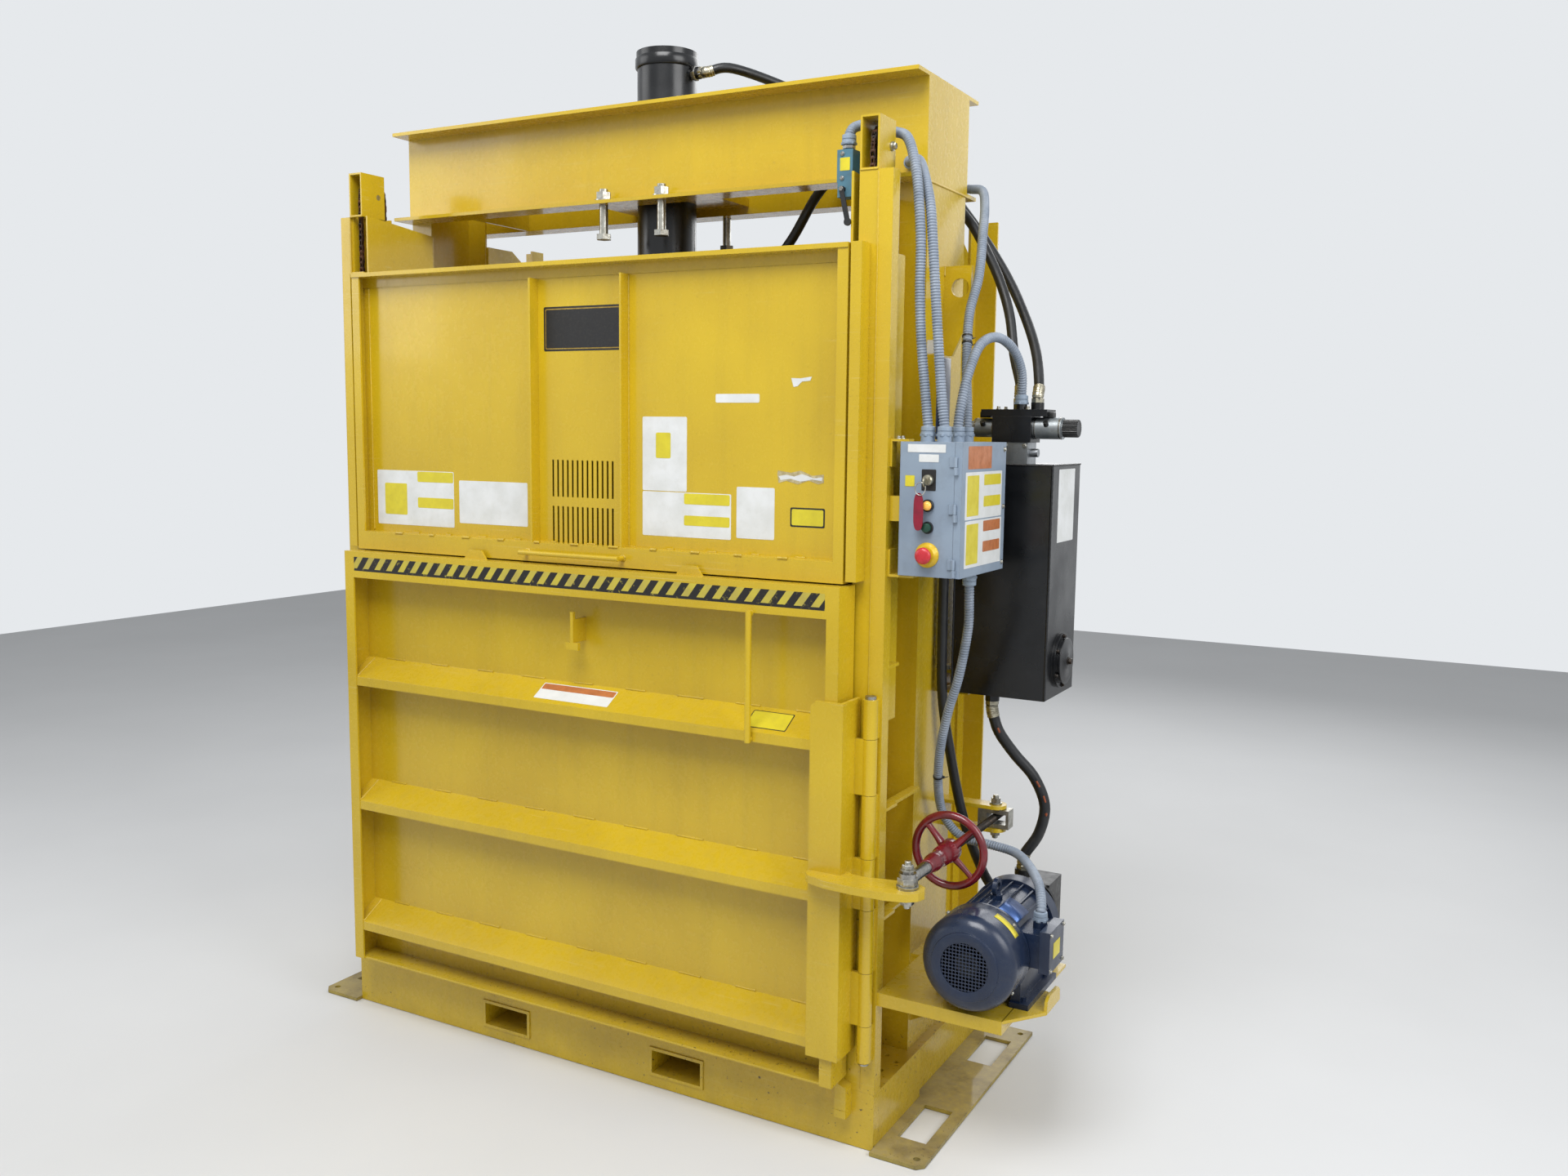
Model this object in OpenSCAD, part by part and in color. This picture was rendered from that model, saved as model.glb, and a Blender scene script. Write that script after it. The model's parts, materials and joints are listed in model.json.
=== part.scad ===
// Vertical recycling baler with a lifting feed gate, a hinged lower door, a screw-clamped latch bar
// and a side-mounted hydraulic power unit. Millimetres, Z up, front towards -Y,
// origin at floor level under the centre of the base.

/* [Frame] */
// width of the base across its two side plates
base_w = 1790; // [1700:10:1900]
// depth of the base from front plate to rear plate
base_d = 810; // [790:5:900]
// height of the base box
base_h = 150; // [140:2:160]
// clear width between the two chamber side sheets
chamber_w = 1574; // [1500:2:1576]
// thickness of the chamber side sheets
wall_t = 6; // [4:1:6]
// height of the two front posts above the floor
post_h = 2421; // [2400:1:2450]
// width of one column channel, across the machine
column_w = 77; // [60:1:77]
// depth of one column channel, along the machine
column_d = 254; // [240:2:260]
// plate thickness of the column channels
column_t = 8; // [6:1:12]
// distance from the base front to the centre of the ram
ram_y = 395; // [390:1:400]

/* [Crown] */
// underside of the two crown channels above the floor
crown_z = 2436; // [2425:1:2450]
// height of the two crown channels
crown_h = 262; // [240:2:280]
// length of the flanges of the crown channels
crown_flange = 78; // [60:1:80]
// plate thickness of the crown channels
crown_t = 10; // [8:1:14]

/* [Base] */
// clear width of a fork pocket
pocket_w = 158; // [140:2:180]
// clear height of a fork pocket
pocket_h = 65; // [50:1:70]
// distance between the centres of the two fork pockets
pocket_span = 600; // [560:5:700]
// width of the floor plates that stand out at each side
foot_w = 145; // [130:1:160]
// thickness of the floor plates
foot_t = 10; // [8:1:16]
// number of strap grooves in the chamber floor
groove_n = 5; // [3:1:7]

/* [Feed gate] */
// lift of the bottom edge of the closed gate above the floor
gate_z = 1447; // [1447:1:1452]
// height of the gate
gate_h = 804; // [780:2:810]
// width of the gate
gate_w = 1612; // [1604:1:1614]
// number of vent slots in each of the two rows
vent_n = 13; // [7:2:15]
// width of one vent slot
vent_w = 6; // [4:0.5:8]
// half the distance between the two upright ribs of the gate
gate_rib_x = 150; // [140:1:170]

/* [Lower door] */
// width of the lower door
door_w = 1638; // [1600:2:1640]
// depth of the door frame
door_depth = 80; // [70:1:82]
// face width of the upright stiles of the door
stile_w = 34; // [25:1:45]
// height of the lip under each rib of the door
rib_lip = 26; // [18:1:34]
// drop of the sloped top of each rib
rib_drop = 48; // [35:1:60]
// size of the pull bar on the door
pull_d = 16; // [10:1:20]

/* [Latch] */
// length of the latch bar
latch_h = 900; // [860:5:920]
// plate thickness of the latch bar
latch_t = 10; // [8:0.5:12]
// outside diameter of the hinge knuckles
knuckle_d = 37; // [30:0.5:37]
// thickness of the arm of the latch
arm_t = 20; // [14:1:24]
// diameter of the handwheel
wheel_d = 204; // [180:1:206]
// diameter of the handwheel rim
rim_d = 18; // [12:0.5:20]
// diameter of the latch screw
screw_d = 22; // [18:0.5:24]

/* [Ram] */
// outside diameter of the cylinder
cylinder_d = 170; // [140:1:176]
// wall thickness of the cylinder
cylinder_t = 10; // [8:0.5:14]
// diameter of the piston rod
rod_d = 90; // [60:1:100]
// thickness of the bottom plate of the platen
platen_t = 20; // [12:1:25]

/* [Power unit] */
// width of the oil tank, across the machine
tank_w = 256; // [220:2:260]
// depth of the oil tank, along the machine
tank_d = 245; // [220:1:250]
// height of the oil tank
tank_h = 610; // [560:5:612]
// diameter of the motor fan cover
motor_d = 238; // [200:1:240]
// height of the motor shaft above the motor shelf
shaft_h = 132; // [128:1:134]
// outside diameter of the black hoses
hose_d = 27; // [20:0.5:30]

/* [Controls] */
// height of the control box
box_h = 318; // [300:1:320]
// depth of the control box, along the machine
box_d = 297; // [260:1:300]
// diameter of the yellow collar of the stop button
collar_d = 60; // [50:1:62]
// diameter of the red head of the stop button
mushroom_d = 40; // [34:0.5:42]
// outside diameter of the grey conduits
conduit_d = 25; // [18:0.5:28]

/* [Hidden] */
$fn = 28;
yo = -base_d / 2;
bw = base_w / 2;
cw = chamber_w / 2;
wo = cw + wall_t;
col_x0 = 793;
col_x1 = col_x0 + column_w;
col_y0 = ram_y - column_d / 2;
col_y1 = ram_y + column_d / 2;
rear_y = base_d - 24;
crown_top = crown_z + crown_h;
platen_z = 1930;
gate_x = gate_w / 2;
door_x = door_w / 2;
door_z0 = 188;
door_z1 = 1443;
door_y1 = -12;
door_y0 = door_y1 - door_depth;
hinge_x = -843;
hinge_y = -20;
latch_x = 873;
latch_y = -19;
latch_y0 = -94;
latch_z0 = 267;
arm_z = 725;
swivel_x = 1015;
swivel_y = -100;
screw_z = 762;
wheel_y = 165;
anchor_y = 505;
sprocket_y = 66;
sprocket_r = 46;
sprocket_z = post_h + 62;
switch_z = post_h - 39;
hose_hole_z = crown_z + 94;
chain_x = 833;
box_x0 = 925;
box_x1 = 1063;
box_y = 7;
box_z = 1472;
tank_x = 920;
tank_y = 392;
tank_z = 1122;
shelf_z = 420;
motor_x = 1138;
motor_z = shelf_z + shaft_h;
control_x = 999;

module at_front() {
    translate([0, yo, 0]) children();
}

module both() {
    children();
    mirror([1, 0, 0]) children();
}

module box(x0, x1, y0, y1, z0, z1) {
    translate([x0, y0, z0]) cube([x1 - x0, y1 - y0, z1 - z0]);
}

module rod_z(x, y, z0, z1, d) {
    translate([x, y, z0]) cylinder(h = z1 - z0, d = d);
}

module rod_y(x, y0, y1, z, d) {
    translate([x, y0, z]) rotate([-90, 0, 0]) cylinder(h = y1 - y0, d = d);
}

module rod_x(x0, x1, y, z, d) {
    translate([x0, y, z]) rotate([0, 90, 0]) cylinder(h = x1 - x0, d = d);
}

// base box with fork pockets, a ledge at each side, the chamber floor and the latch rest
module base_frame() color([0.84, 0.68, 0.10]) at_front() {
    difference() {
        union() {
            box(-bw, bw, 0, 8, 0, base_h - 8);
            box(-bw, bw, base_d - 8, base_d, 0, base_h - 8);
            box(-bw, bw, 0, base_d, base_h - 8, base_h);
            both() box(bw - 8, bw, 8, 300, 0, base_h - 8);
            both() box(bw - 22, bw - 8, 292, 300, 0, base_h - 8);
            both() box(bw - 22, bw - 14, 300, base_d - 8, 0, base_h - 8);
            box(-40, 40, 8, base_d - 8, 0, 8);
            box(-4, 4, 8, base_d - 8, 8, base_h - 8);
            both() pocket_tube();
        }
        both() pocket_hole();
        both() rod_z(bw - 40, 130, base_h - 10, base_h + 2, 13);
        both() rod_z(bw - 25, 190, base_h - 10, base_h + 2, 13);
        both() rod_z(bw - 60, 215, base_h - 10, base_h + 2, 13);
    }
    difference() {
        box(-cw, cw, 0, rear_y - 6, base_h, base_h + 30);
        for (i = [0 : groove_n - 1])
            translate([(i - (groove_n - 1) / 2) * cw * 1.7 / groove_n - 15, -1, base_h + 15])
                cube([30, base_d, 20]);
    }
    box(765, 798, -14, 0, 118, 184);
    difference() {
        box(800, 832, -34, 0, 84, 184);
        translate([790, -40, 184]) rotate([0, 24, 0]) cube([70, 50, 30]);
        translate([790, -54, 84]) rotate([45, 0, 0]) cube([60, 30, 30]);
    }
}

module pocket_tube() {
    x = pocket_span / 2;
    box(x - pocket_w / 2 - 6, x + pocket_w / 2 + 6, 0, base_d, 34, 46 + pocket_h);
    difference() {
        box(x - pocket_w / 2 - 9, x + pocket_w / 2 + 9, -4, 0, 31, 49 + pocket_h);
        pocket_hole();
    }
}

module pocket_hole() {
    x = pocket_span / 2;
    box(x - pocket_w / 2, x + pocket_w / 2, -10, base_d + 10, 40, 40 + pocket_h);
}

// flat floor plates with two windows and an anchor hole at each end
module foot_plates() color([0.78, 0.62, 0.12]) at_front() both() difference() {
    union() {
        box(bw, bw + foot_w, -23, base_d + 23, 0, foot_t);
        box(bw - 14, bw, 300, base_d - 8, 0, foot_t);
    }
    box(bw + 31, bw + 110, 84, 267, -1, foot_t + 1);
    box(bw + 31, bw + 110, 563, 738, -1, foot_t + 1);
    rod_z(bw + 117, 8, -1, foot_t + 1, 18);
    rod_z(bw + 117, base_d - 8, -1, foot_t + 1, 18);
    translate([bw + foot_w - 18, -23, -1]) rotate([0, 0, -45]) cube([40, 40, foot_t + 2]);
}

// side sheets of the chamber, notched above the chamber so the column channels stand open inwards
module side_walls() color([0.80, 0.64, 0.10]) at_front() both() difference() {
    translate([wo, 0, 0]) rotate([0, -90, 0]) linear_extrude(wall_t)
        polygon([[base_h, 0], [base_h, rear_y], [post_h - 121, rear_y], [post_h - 26, 640], [post_h - 26, col_y0],
            [post_h, 0]]);
    box(cw - 5, wo + 5, col_y0, col_y1, 2200, 2500);
}

// rear sheet with stiffeners and the two rear corner angles
module back_wall() color([0.78, 0.62, 0.10]) at_front() {
    difference() {
        box(-cw, cw, rear_y - 6, rear_y, base_h, 2260);
        for (i = [-2 : 2]) box(i * cw * 1.7 / 5 - 12, i * cw * 1.7 / 5 + 12, rear_y - 10, rear_y + 5, 200, 1100);
    }
    for (z = [1180, 1500, 1850, 2180]) difference() {
        box(-cw, cw, rear_y, rear_y + 24, z, z + 70);
        box(-cw - 1, cw + 1, rear_y - 1, rear_y + 18, z + 6, z + 64);
    }
    both() box(wo, bw - 33, base_d - 8, base_d, base_h, post_h - 11);
    both() box(wo, wo + 8, base_d - 58, base_d - 8, base_h, post_h - 11);
}

// front posts: a channel open to the middle for the chain and a small outer tube, with tie plates
module front_posts() color([0.85, 0.69, 0.11]) at_front() {
    difference() {
        both() post_side();
        box(-858, -807, -1, 7, post_h - 159, post_h + 1);
    }
}

module post_side() {
    box(808, 857, 0, 6, base_h, post_h);
    box(851, 857, 6, 102, base_h, post_h);
    box(wo, 857, 96, 102, base_h, post_h);
    difference() {
        box(857, bw, 0, 38, base_h, post_h);
        box(861, bw - 4, 4, 34, base_h - 1, post_h - 6);
    }
    box(857, bw, 38, 104, 596, 604);
    box(857, bw, 38, 104, 876, 884);
    box(862, bw - 8, 104, col_y0, 596, 604);
    box(862, bw - 8, 104, col_y0, 876, 884);
    box(861, bw, 38, 96, 1236, 1244);
    box(813, 851, 6, 36, gate_z + 8, gate_z + 23);
}

// column channels, web outwards, from the base to the top of the crown
module columns() color([0.83, 0.67, 0.10]) at_front() both() {
    box(col_x1 - column_t, col_x1, col_y0, col_y1, base_h, crown_top);
    box(col_x0, col_x1 - column_t, col_y0, col_y0 + column_t, base_h, crown_top);
    box(col_x0, col_x1 - column_t, col_y1 - column_t, col_y1, base_h, crown_top);
}

// two crown channels back to back with a gap, tied by the cylinder plate
module crown_channels() color([0.86, 0.70, 0.11]) at_front() {
    box(-col_x1, col_x1, col_y0 - crown_t, col_y0, crown_z, crown_top);
    box(-col_x1, col_x1, col_y0 - crown_flange, col_y0 - crown_t, crown_top - crown_t, crown_top);
    difference() {
        box(-col_x1, col_x1, col_y1, col_y1 + crown_t, crown_z, crown_top);
        rod_y(560, col_y1 - 1, col_y1 + crown_t + 1, hose_hole_z, 60);
    }
    box(-col_x1, col_x1, col_y1 + crown_t, col_y1 + crown_flange, crown_top - crown_t, crown_top);
    difference() {
        union() {
            box(-col_x1, col_x1, col_y0 - crown_flange, col_y0 - crown_t, crown_z, crown_z + crown_t);
            box(-col_x1, col_x1, col_y1 + crown_t, col_y1 + crown_flange, crown_z, crown_z + crown_t);
        }
        for (x = [-98, 98]) rod_z(x, col_y0 - 46, crown_z - 1, crown_z + crown_t + 1, 26);
        for (x = [-98, 98]) rod_z(x, col_y1 + 46, crown_z - 1, crown_z + crown_t + 1, 26);
    }
    difference() {
        box(-200, 200, col_y0, col_y1, crown_z + 20, crown_z + 45);
        rod_z(0, ram_y, crown_z, crown_z + 60, cylinder_d + 1);
    }
    for (x = [-620, 620]) box(x - 5, x + 5, col_y0, col_y1, crown_z, crown_top - 20);
}

// square tubes on top of the posts that carry the chain sprockets
module sprocket_housings() color([0.85, 0.69, 0.11]) at_front() both() difference() {
    box(808, 858, 0, 90, post_h, post_h + 125);
    box(813, 853, -1, 91, post_h + 5, post_h + 120);
    rod_x(800, 870, sprocket_y, sprocket_z, 16);
    box(813, 853, 12, 28, post_h - 1, post_h + 6);
}

// lifting plates on the outer faces of the columns
module lifting_eyes() color([0.86, 0.70, 0.10]) at_front() both() difference() {
    translate([0, ram_y + 6, 0]) rotate([90, 0, 0]) linear_extrude(12)
        polygon([[col_x1, 2010], [col_x1 + 26, 2010], [col_x1 + 74, 2110], [col_x1 + 74, 2240], [col_x1, 2240]]);
    rod_y(col_x1 + 44, ram_y - 10, ram_y + 10, 2184, 48);
}

// upright keeper bars beside the gate and the covered guides of the counterweights
module guide_bars() color([0.84, 0.68, 0.11]) at_front() both() {
    difference() {
        box(812, 840, -48, 0, gate_z + 6, 2252);
        box(816, 836, -44, 1, gate_z + 5, 2246);
    }
    difference() {
        box(804, 862, 102, 152, 1090, 2240);
        box(808, 858, 101, 148, 1094, 2241);
    }
}

// brackets that carry the control box and the oil tank
module equipment_brackets() color([0.84, 0.68, 0.11]) at_front() {
    box(bw, 945, 12, 40, box_z + box_h, box_z + box_h + 6);
    box(bw, 901, 12, 40, box_z + box_h - 60, box_z + box_h);
    box(bw, 962, 12, 62, box_z - 6, box_z);
    box(bw, 901, 12, 62, box_z, box_z + 60);
    box(901, 925, 18, 56, 1600, 1660);
    box(bw, 901, 18, 56, 1600, 1660);
    for (z = [1170, 1640]) {
        box(col_x1, tank_x, tank_y + 10, 500, z, z + 8);
        box(col_x1, col_x1 + 8, tank_y + 10, 500, z - 50, z);
        box(tank_x - 8, tank_x, tank_y + 10, 500, z - 50, z);
    }
    box(col_x1, tank_x + 40, tank_y + 20, 510, tank_z - 8, tank_z);
    box(col_x1, col_x1 + 30, 280, 372, 1790, 2008);
}

// folded shelf under the motor
module motor_shelf() color([0.82, 0.66, 0.11]) at_front() {
    difference() {
        box(bw, 1222, 4, 470, shelf_z - 8, shelf_z);
        for (x = [motor_x - 95, motor_x + 95], y = [120, 290])
            rod_z(x, y, shelf_z - 10, shelf_z + 1, 13);
    }
    box(bw, 1222, 4, 12, shelf_z - 34, shelf_z - 8);
    box(1214, 1222, 12, 470, shelf_z - 34, shelf_z - 8);
    box(1222, 1252, 300, 420, shelf_z - 8, shelf_z);
    box(col_x1, bw, col_y0 + 10, 470, shelf_z - 8, shelf_z);
    for (y = [col_y0 + 20, 440])
        translate([0, y, 0]) rotate([90, 0, 0]) linear_extrude(8)
            polygon([[col_x1, shelf_z - 8], [1180, shelf_z - 8], [1180, shelf_z - 30], [col_x1, shelf_z - 190]]);
}

// frame half of the door hinges and of the long latch hinge
module hinge_knuckles() color([0.83, 0.67, 0.11]) at_front() {
    for (z = [330, 815, 1300]) {
        for (s = [-72, 31]) difference() {
            union() {
                rod_z(hinge_x, hinge_y, z + s, z + s + 41, 30);
                box(hinge_x - 15, hinge_x + 11, hinge_y, 0, z + s, z + s + 41);
            }
            rod_z(hinge_x, hinge_y, z + s - 1, z + s + 42, 16.1);
        }
    }
    for (i = [0 : 3]) difference() {
        union() {
            rod_z(latch_x, latch_y, knuckle_z(i), knuckle_z(i) + knuckle_len(i), knuckle_d);
            box(latch_x - 10, latch_x + 16, latch_y, 0, knuckle_z(i), knuckle_z(i) + knuckle_len(i));
        }
        rod_z(latch_x, latch_y, 200, 1250, 20.1);
    }
}

function knuckle_z(i) = [244, 479, 771, 1071][i];
function knuckle_len(i) = [96, 161, 159, 97][i];
function latch_knuckle_z(i) = [341, 641, 931][i];
function latch_knuckle_len(i) = [137, 129, 139][i];

// pins of the hinges and axles of the sprockets
module pivot_pins() color([0.55, 0.54, 0.50]) at_front() {
    for (z = [330, 815, 1300]) {
        rod_z(hinge_x, hinge_y, z - 72, z + 72, 16);
        rod_z(hinge_x, hinge_y, z + 72, z + 78, 22);
    }
    rod_z(latch_x, latch_y, 240, 1168, 20);
    rod_z(latch_x, latch_y, 1168, 1176, 28);
    rod_z(latch_x, latch_y, 236, 240, 26);
    both() rod_x(808, 858, sprocket_y, sprocket_z, 16);
    both() rod_x(858, 862, sprocket_y, sprocket_z, 22);
}

// fixed fork on the column that holds the rear nut of the latch screw
module screw_anchor() color([0.85, 0.69, 0.11]) at_front() {
    difference() {
        union() {
            box(col_x1, swivel_x, anchor_y - 30, anchor_y + 17, screw_z + 27, screw_z + 37);
            box(col_x1, swivel_x, anchor_y - 30, anchor_y + 17, screw_z - 37, screw_z - 27);
            rod_z(swivel_x, anchor_y, screw_z + 27, screw_z + 37, 60);
            rod_z(swivel_x, anchor_y, screw_z - 37, screw_z - 27, 60);
        }
        rod_z(swivel_x, anchor_y, screw_z - 60, screw_z + 60, 16.2);
    }
    box(col_x1, col_x1 + 8, anchor_y - 30, anchor_y + 17, screw_z - 27, screw_z + 27);
}

// swivelling nut block with its two pivot bolts
module screw_nut() color([0.62, 0.62, 0.60]) at_front() {
    difference() {
        box(swivel_x - 44, swivel_x + 44, anchor_y - 20, anchor_y + 20, screw_z - 26, screw_z + 26);
        box(swivel_x - 18, swivel_x + 36, anchor_y - 21, anchor_y + 21, screw_z - 14, screw_z + 14);
    }
    rod_z(swivel_x, anchor_y, screw_z + 26, screw_z + 38, 16);
    rod_z(swivel_x, anchor_y, screw_z - 38, screw_z - 26, 16);
    rod_z(swivel_x, anchor_y, screw_z + 38, screw_z + 41, 34);
    translate([swivel_x, anchor_y, screw_z + 41]) cylinder(h = 13, d = 27, $fn = 6);
    translate([swivel_x, anchor_y, screw_z - 51]) cylinder(h = 13, d = 27, $fn = 6);
}

// hollow hydraulic cylinder with end cap, mounting flange and gland
module ram_cylinder() color([0.05, 0.05, 0.06]) at_front() {
    difference() {
        union() {
            rod_z(0, ram_y, 2090, 2850, cylinder_d);
            rod_z(0, ram_y, 2838, 2876, cylinder_d + 6);
            rod_z(0, ram_y, 2064, 2120, cylinder_d + 10);
            rod_z(0, ram_y, crown_z + 45, crown_z + 70, 246);
        }
        rod_z(0, ram_y, 2100, 2840, cylinder_d - 2 * cylinder_t);
        rod_z(0, ram_y, 2060, 2101, rod_d + 0.1);
    }
    rod_x(cylinder_d / 2 - 2, cylinder_d / 2 + 26, ram_y, 2812, 34);
    rod_x(cylinder_d / 2 - 2, cylinder_d / 2 + 26, ram_y, 2150, 34);
}

// long bolts with nuts and washers through the lower crown flanges
module crown_bolts() color([0.72, 0.74, 0.76]) at_front() {
    for (x = [-98, 98], y = [col_y0 - 46, col_y1 + 46]) {
        rod_z(x, y, crown_z - 80, crown_z + crown_t + 34, 24);
        rod_z(x, y, crown_z + crown_t, crown_z + crown_t + 5, 50);
        translate([x, y, crown_z + crown_t + 5]) cylinder(h = 20, d = 44, $fn = 6);
        translate([x, y, crown_z - 95]) cylinder(h = 15, d = 44, $fn = 6);
    }
}

// piston, rod and the clevis plate on its lower end
module piston_rod() color([0.75, 0.76, 0.78]) at_front() {
    rod_z(0, ram_y, 2042, 2780, rod_d);
    rod_z(0, ram_y, 2770, 2830, cylinder_d - 2 * cylinder_t - 0.1);
    rod_z(0, ram_y, 2022, 2042, rod_d + 60);
}

// pressing plate with upright ribs
module platen() color([0.80, 0.64, 0.12]) at_front() {
    box(-cw + 17, cw - 17, 25, rear_y - 24, platen_z, platen_z + platen_t);
    for (x = [-740, -420, -110, 100, 410, 730])
        box(x, x + 10, 40, rear_y - 40, platen_z + platen_t, 2014);
    for (y = [60, ram_y - 60, ram_y + 50, rear_y - 70])
        box(-740, 740, y, y + 8, platen_z + platen_t, 2004);
    box(-110, 110, ram_y - 90, ram_y + 90, 2010, 2022);
}

// welded oil tank with a round clean-out cover and a filler plate on top
module oil_tank() color([0.04, 0.045, 0.06]) at_front() {
    difference() {
        box(tank_x, tank_x + tank_w, tank_y, tank_y + tank_d, tank_z, tank_z + tank_h);
        box(tank_x + 4, tank_x + tank_w - 4, tank_y + 4, tank_y + tank_d - 4, tank_z + 4, tank_z + tank_h - 4);
    }
    rod_x(tank_x + tank_w, tank_x + tank_w + 9, tank_y + tank_d / 2, tank_z + 92, 146);
    rod_x(tank_x + tank_w + 9, tank_x + tank_w + 18, tank_y + tank_d / 2, tank_z + 92, 118);
    rod_z(tank_x + 94, tank_y + 60, tank_z - 24, tank_z, 38);
}

// machined manifold under the valve
module valve_manifold() color([0.72, 0.73, 0.75]) at_front() {
    box(1028, 1096, 430, 500, tank_z + tank_h, 1789);
    rod_x(1096, 1114, 465, 1762, 22);
    rod_x(1010, 1028, 465, 1762, 22);
}

// directional valve body with its cover plate
module valve_body() color([0.04, 0.04, 0.045]) at_front() {
    box(999, 1104, 426, 504, 1789, 1856);
    box(966, 1144, 430, 504, 1856, 1874);
    rod_z(1070, 446, 1874, 1890, 30);
    rod_z(1052, 486, 1874, 1892, 32);
    rod_z(1106, 470, 1874, 1892, 34);
}

// solenoid coils at both ends of the valve
module valve_coils() color([0.55, 0.57, 0.57]) at_front() {
    rod_x(940, 999, 465, 1826, 50);
    rod_x(1104, 1178, 465, 1826, 56);
    rod_x(1178, 1217, 465, 1826, 42);
    rod_x(920, 940, 465, 1826, 36);
}

// motor frame with cooling ribs, feet, lifting eye and terminal box
module motor_body() color([0.15, 0.19, 0.27]) at_front() {
    difference() {
        union() {
            rod_y(motor_x, 70, 330, motor_z, motor_d - 36);
            rod_y(motor_x, 84, 92, motor_z, motor_d);
        }
        rod_y(motor_x, 60, 90, motor_z, 24.1);
    }
    rod_z(motor_x, 180, motor_z + 96, motor_z + motor_d / 2 - 4, 30);
    for (a = [0 : 15 : 345]) if (a < 240 || a > 300)
        translate([motor_x, 84, motor_z]) rotate([0, -a, 0]) translate([motor_d / 2 - 22, 0, -2])
            cube([13, 222, 4]);
    rod_y(motor_x, 306, 350, motor_z, motor_d - 12);
    for (s = [-1, 1]) box(motor_x + s * 95 - 24, motor_x + s * 95 + 24, 92, 320, shelf_z, shelf_z + 14);
    for (s = [-1, 1]) box(motor_x + s * 84 - 12, motor_x + s * 84 + 12, 100, 312, shelf_z + 14, shelf_z + 76);
    box(motor_x + 84, motor_x + 142, 96, 196, motor_z - 22, motor_z + 62);
    box(motor_x + 142, motor_x + 168, 90, 202, motor_z - 30, motor_z + 74);
    rod_z(motor_x + 124, 150, motor_z + 62, motor_z + 82, 34);
    difference() {
        rod_x(motor_x - 5, motor_x + 5, 180, motor_z + motor_d / 2 + 14, 46);
        rod_x(motor_x - 6, motor_x + 6, 180, motor_z + motor_d / 2 + 14, 24);
    }
    for (x = [-95, 95], y = [120, 290]) translate([motor_x + x, y, shelf_z + 14]) cylinder(h = 9, d = 20, $fn = 6);
}

// fan cover with a perforated face
module motor_fan_cover() color([0.15, 0.19, 0.27]) at_front() difference() {
    union() {
        rod_y(motor_x, -12, 84, motor_z, motor_d);
        translate([motor_x, -38, motor_z]) rotate([-90, 0, 0]) cylinder(h = 26.5, d1 = motor_d - 62, d2 = motor_d);
    }
    rod_y(motor_x, -10, 86, motor_z, motor_d - 5);
    rod_y(motor_x, -35, 0, motor_z, motor_d - 76);
    for (a = [0 : 60 : 300]) perforation(a, 18);
    for (a = [0 : 30 : 330]) perforation(a, 36);
    for (a = [0 : 20 : 340]) perforation(a, 54);
    rod_y(motor_x, -39, -30, motor_z, 13);
}

module perforation(a, r) {
    translate([motor_x + r * cos(a), -39, motor_z + r * sin(a)]) rotate([-90, 0, 0]) cylinder(h = 6, d = 11, $fn = 8);
}

// cooling fan on the motor shaft
module motor_fan() color([0.06, 0.06, 0.07]) at_front() {
    rod_y(motor_x, -26, 88, motor_z, 24);
    rod_y(motor_x, -18, 20, motor_z, 60);
    for (a = [0 : 60 : 300])
        translate([motor_x, -6, motor_z]) rotate([0, a, 0]) translate([28, 0, -2]) cube([72, 40, 4]);
}

// bell housing and gear pump behind the motor
module hydraulic_pump() color([0.10, 0.10, 0.11]) at_front() {
    rod_y(motor_x, 350, 362, motor_z, 200);
    rod_y(motor_x, 362, 440, motor_z, 130);
    rod_y(motor_x, 440, 452, motor_z, 150);
    box(motor_x - 52, motor_x + 52, 452, 560, motor_z - 62, motor_z + 62);
    rod_z(motor_x - 40, 506, motor_z + 62, motor_z + 78, 44);
    rod_x(motor_x - 76, motor_x - 52, 506, motor_z, 40);
}

// steel enclosure, open on the side that the lid covers
module control_box() color([0.55, 0.60, 0.66]) at_front() {
    difference() {
        box(box_x0, box_x1, box_y, box_y + box_d, box_z, box_z + box_h);
        box(box_x0 + 2, box_x1 + 1, box_y + 2, box_y + box_d - 2, box_z + 2, box_z + box_h - 2);
        for (z = [1524, 1589, 1641, 1701]) rod_y(control_x, box_y - 1, box_y + 3, z, 22.1);
    }
    for (x = [972, 1014]) rod_z(x, 60, box_z + box_h, box_z + box_h + 16, 34);
    rod_z(1012, 150, box_z + box_h, box_z + box_h + 16, 34);
    rod_z(1005, 230, box_z + box_h, box_z + box_h + 16, 34);
    rod_z(1034, 200, box_z - 16, box_z, 34);
    for (z = [box_z + 20, box_z + 150, box_z + 260]) difference() {
        union() {
            rod_z(box_x1 + 4, box_y - 5, z, z + 24, 8);
            box(box_x1 - 12, box_x1 + 4, box_y - 3, box_y, z, z + 24);
        }
        rod_z(box_x1 + 4, box_y - 5, z - 1, z + 25, 4.1);
    }
}

// hinged lid on the outer side of the control box
module control_box_lid() color([0.57, 0.62, 0.68]) at_front() {
    difference() {
        box(box_x1 + 0.3, box_x1 + 19, box_y, box_y + box_d + 2, box_z, box_z + box_h);
        box(box_x1, box_x1 + 17, box_y + 2, box_y + box_d, box_z + 2, box_z + box_h - 2);
    }
    for (z = [box_z + 20, box_z + 150, box_z + 260]) {
        rod_z(box_x1 + 4, box_y - 5, z - 18, z - 0.5, 8);
        box(box_x1 + 4, box_x1 + 10, box_y - 5, box_y, z - 18, z - 0.5);
        rod_z(box_x1 + 4, box_y - 5, z - 0.5, z + 24, 4);
    }
}

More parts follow.
